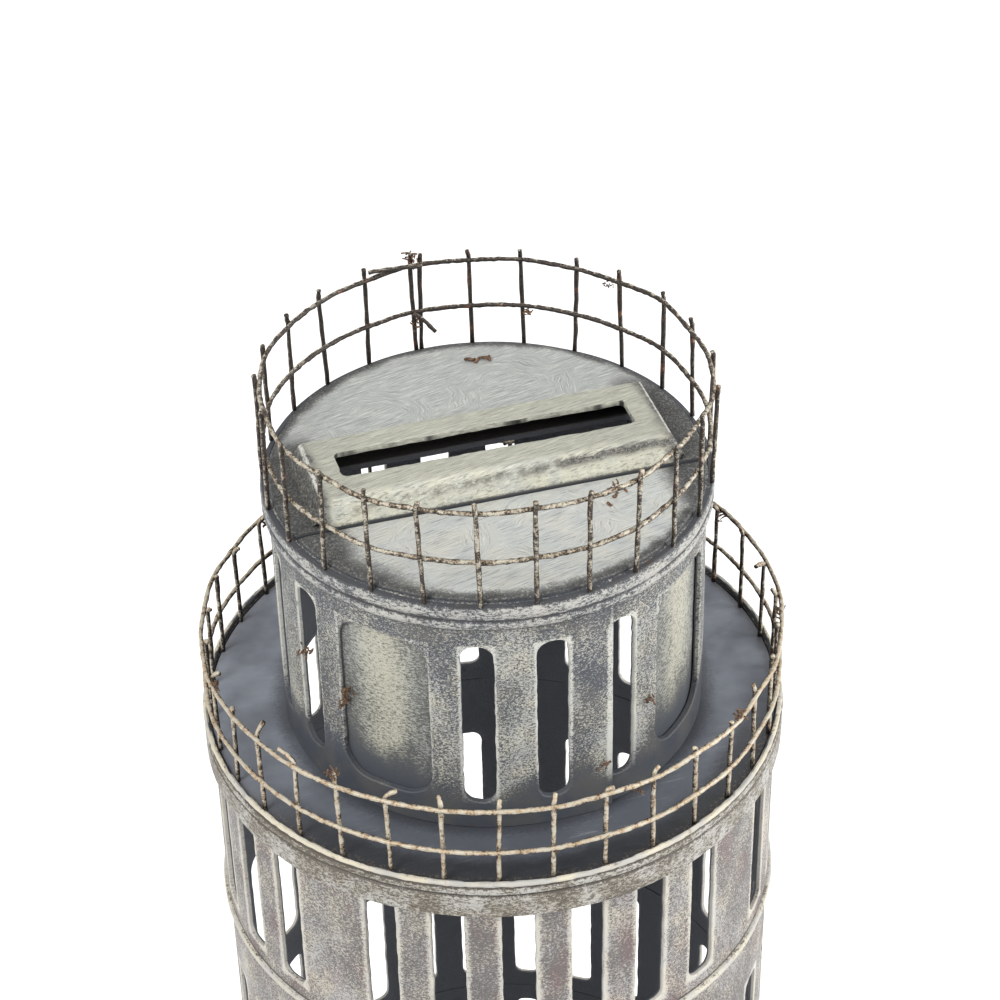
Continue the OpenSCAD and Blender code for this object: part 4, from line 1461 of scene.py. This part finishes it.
wall_out = BELFRY_R + 0.05
top_out = span("terrace_rail_hoops").outer
TUFTS = [(-56.9, wall_out, terrace.high + 14.7, 1.3), (-72.7, wall_out, terrace.high + 17.9, 1.0),
         (-55.0, wall_out, terrace.high + 16.4, 0.8), (12.8, wall_out, terrace.high + 6.6, 1.3),
         (28.5, wall_out, terrace.high + 13.0, 1.0), (-47.1, top_out - 0.5, terrace.high + 12.9, 1.0),
         (12.0, top_out - 0.5, terrace.high + 10.6, 0.8), (38.1, top_out - 0.5, terrace.high + 12.2, 1.0),
         (-141.0, top_out - 0.6, terrace.high + 10.5, 1.1), (107.5, top_out - 0.6, terrace.high + 11.0, 1.1),
         (-84.0, top_out - 0.5, terrace.high + 11.5, 1.2), (74.0, top_out - 0.5, terrace.high + 10.8, 1.1),
         (-176.3, stake_mid - 0.2, rail_top + 1.0, 1.1), (-176.9, stake_mid - 0.3, rail_low - 2.0, 1.0),
         (152.0, hoop_mid - 0.2, rail_low - 0.8, 0.9), (128.0, hoop_mid - 0.2, rail_top - 0.8, 0.7),
         (16.9, hoop_mid - 0.2, rail_top - 0.1, 0.9), (-5.0, top_out - 0.5, terrace.high + 5.0, 0.8)]
shape = Shape()
for number, (degrees, reach, level, size) in enumerate(TUFTS):
    out_way = (math.sin(math.radians(degrees)), -math.cos(math.radians(degrees)), 0.2)
    add_tuft(shape, place_at(degrees, reach, level), out_way, size, 16, number * 3.7)
make_piece("rust_tufts", shape, FLOCK, crease=60)

shape = Shape()
FLAKES = [(5.4, 20.6, 2.1, 0.35), (3.9, 20.9, 1.3, 0.2), (6.3, 20.4, 0.9, 1.4),
          (12.2, -11.1, 1.0, 0.6), (13.6, -10.4, 0.7, 1.9), (11.0, -12.6, 0.5, 2.6)]
for number, (x, y, long, turn) in enumerate(FLAKES):
    way = np.array((math.cos(turn), math.sin(turn), 0.0))
    path = [np.array((x, y, roof.high + 0.12 + 0.25 * math.sin(2 * t + number))) + way * long * (t - 0.5)
            + 0.18 * long * np.array((0, math.sin(5 * t + number), 0)) for t in np.linspace(0, 1, 7)]
    add_wire(shape, path, 0.2, sides=6, lumps=0.8)
make_piece("rust_flakes", shape, FLOCK, crease=60)

# %% [markdown]
# ## Floor, light and camera
# The model stands on a pale floor under a bright, even sky, as in a light tent. A lamp from the upper
# left shapes the drums, and a slightly weaker one from the right keeps their far side from going flat.

# %% Floor and light
LAMP_SIZE = 0.5
LEFT_LAMP_POWER = 9.6
RIGHT_LAMP_POWER = 8.5
SKY_STRENGTH = 0.85
FLOOR_TONE = 0.92
stage_r = 3.0
floor_mesh = bpy.data.meshes.new("floor")
corners = [(-stage_r, -stage_r, 0), (stage_r, -stage_r, 0), (stage_r, stage_r, 0), (-stage_r, stage_r, 0)]
floor_mesh.from_pydata(corners, [], [(0, 1, 2, 3)])
floor = bpy.data.objects.new("floor", floor_mesh)
bpy.context.scene.collection.objects.link(floor)
floor_paint = bpy.data.materials.new("floor_paper")
floor_paint.use_nodes = True
floor_surface = floor_paint.node_tree.nodes["Principled BSDF"]
floor_surface.inputs["Base Color"].default_value = (FLOOR_TONE, FLOOR_TONE, FLOOR_TONE, 1)
floor_surface.inputs["Roughness"].default_value = 0.9
floor_mesh.materials.append(floor_paint)

world = bpy.data.worlds.new("light_tent")
world.use_nodes = True
world.node_tree.nodes["Background"].inputs["Color"].default_value = (1.0, 1.0, 1.0, 1)
world.node_tree.nodes["Background"].inputs["Strength"].default_value = SKY_STRENGTH
bpy.context.scene.world = world
bpy.context.scene.view_settings.view_transform = "Standard"

roof_spot = TOWER @ Vector((0, 0, roof.high * MM))


def add_lamp(name, power, place, aim):
    lamp = bpy.data.lights.new(name, "AREA")
    lamp.shape = "DISK"
    lamp.size = LAMP_SIZE
    lamp.energy = power
    holder = bpy.data.objects.new(name, lamp)
    bpy.context.scene.collection.objects.link(holder)
    holder.location = place
    holder.rotation_mode = "QUATERNION"
    holder.rotation_quaternion = (Vector(aim) - Vector(place)).to_track_quat("-Z", "Y")
    return holder


add_lamp("upper_left_lamp", LEFT_LAMP_POWER, roof_spot + Vector((-0.65, -0.35, 0.75)), roof_spot)
add_lamp("right_lamp", RIGHT_LAMP_POWER, roof_spot + Vector((0.8, -0.3, 0.3)), roof_spot)
print("floor and lamps placed")

# %% [markdown]
# ### Camera
# The camera is placed from the tower's own axes: it looks down at the roof's railing from in front,
# turned a little to the left. A long lens keeps the rings from looking stretched near the edges.

# %% Camera
LENS = 96.9
SENSOR = 36.0
CAMERA_TURN = math.radians(-15.7)
CAMERA_TILT = math.radians(36.69)
CAMERA_ROLL = math.radians(1.36)
CAMERA_BACK = 309.6
LOOK_RIGHT = 1.43
LOOK_DOWN = 14.1

camera_data = bpy.data.cameras.new("camera")
camera_data.sensor_width = SENSOR
camera_data.lens = LENS
camera_data.clip_start = 0.01
camera_data.clip_end = 20
camera = bpy.data.objects.new("camera", camera_data)
bpy.context.scene.collection.objects.link(camera)
towards_camera = Matrix.Rotation(math.pi / 2 - CAMERA_TILT, 4, "X")
camera.matrix_world = (TOWER @ Matrix.Translation((0, 0, rail_top * MM))
                       @ Matrix.Rotation(CAMERA_TURN, 4, "Z") @ towards_camera
                       @ Matrix.Translation((LOOK_RIGHT * MM, -LOOK_DOWN * MM, CAMERA_BACK * MM))
                       @ Matrix.Rotation(-CAMERA_ROLL, 4, "Z"))
bpy.context.scene.camera = camera
print("camera at", [round(value, 3) for value in camera.matrix_world.translation])
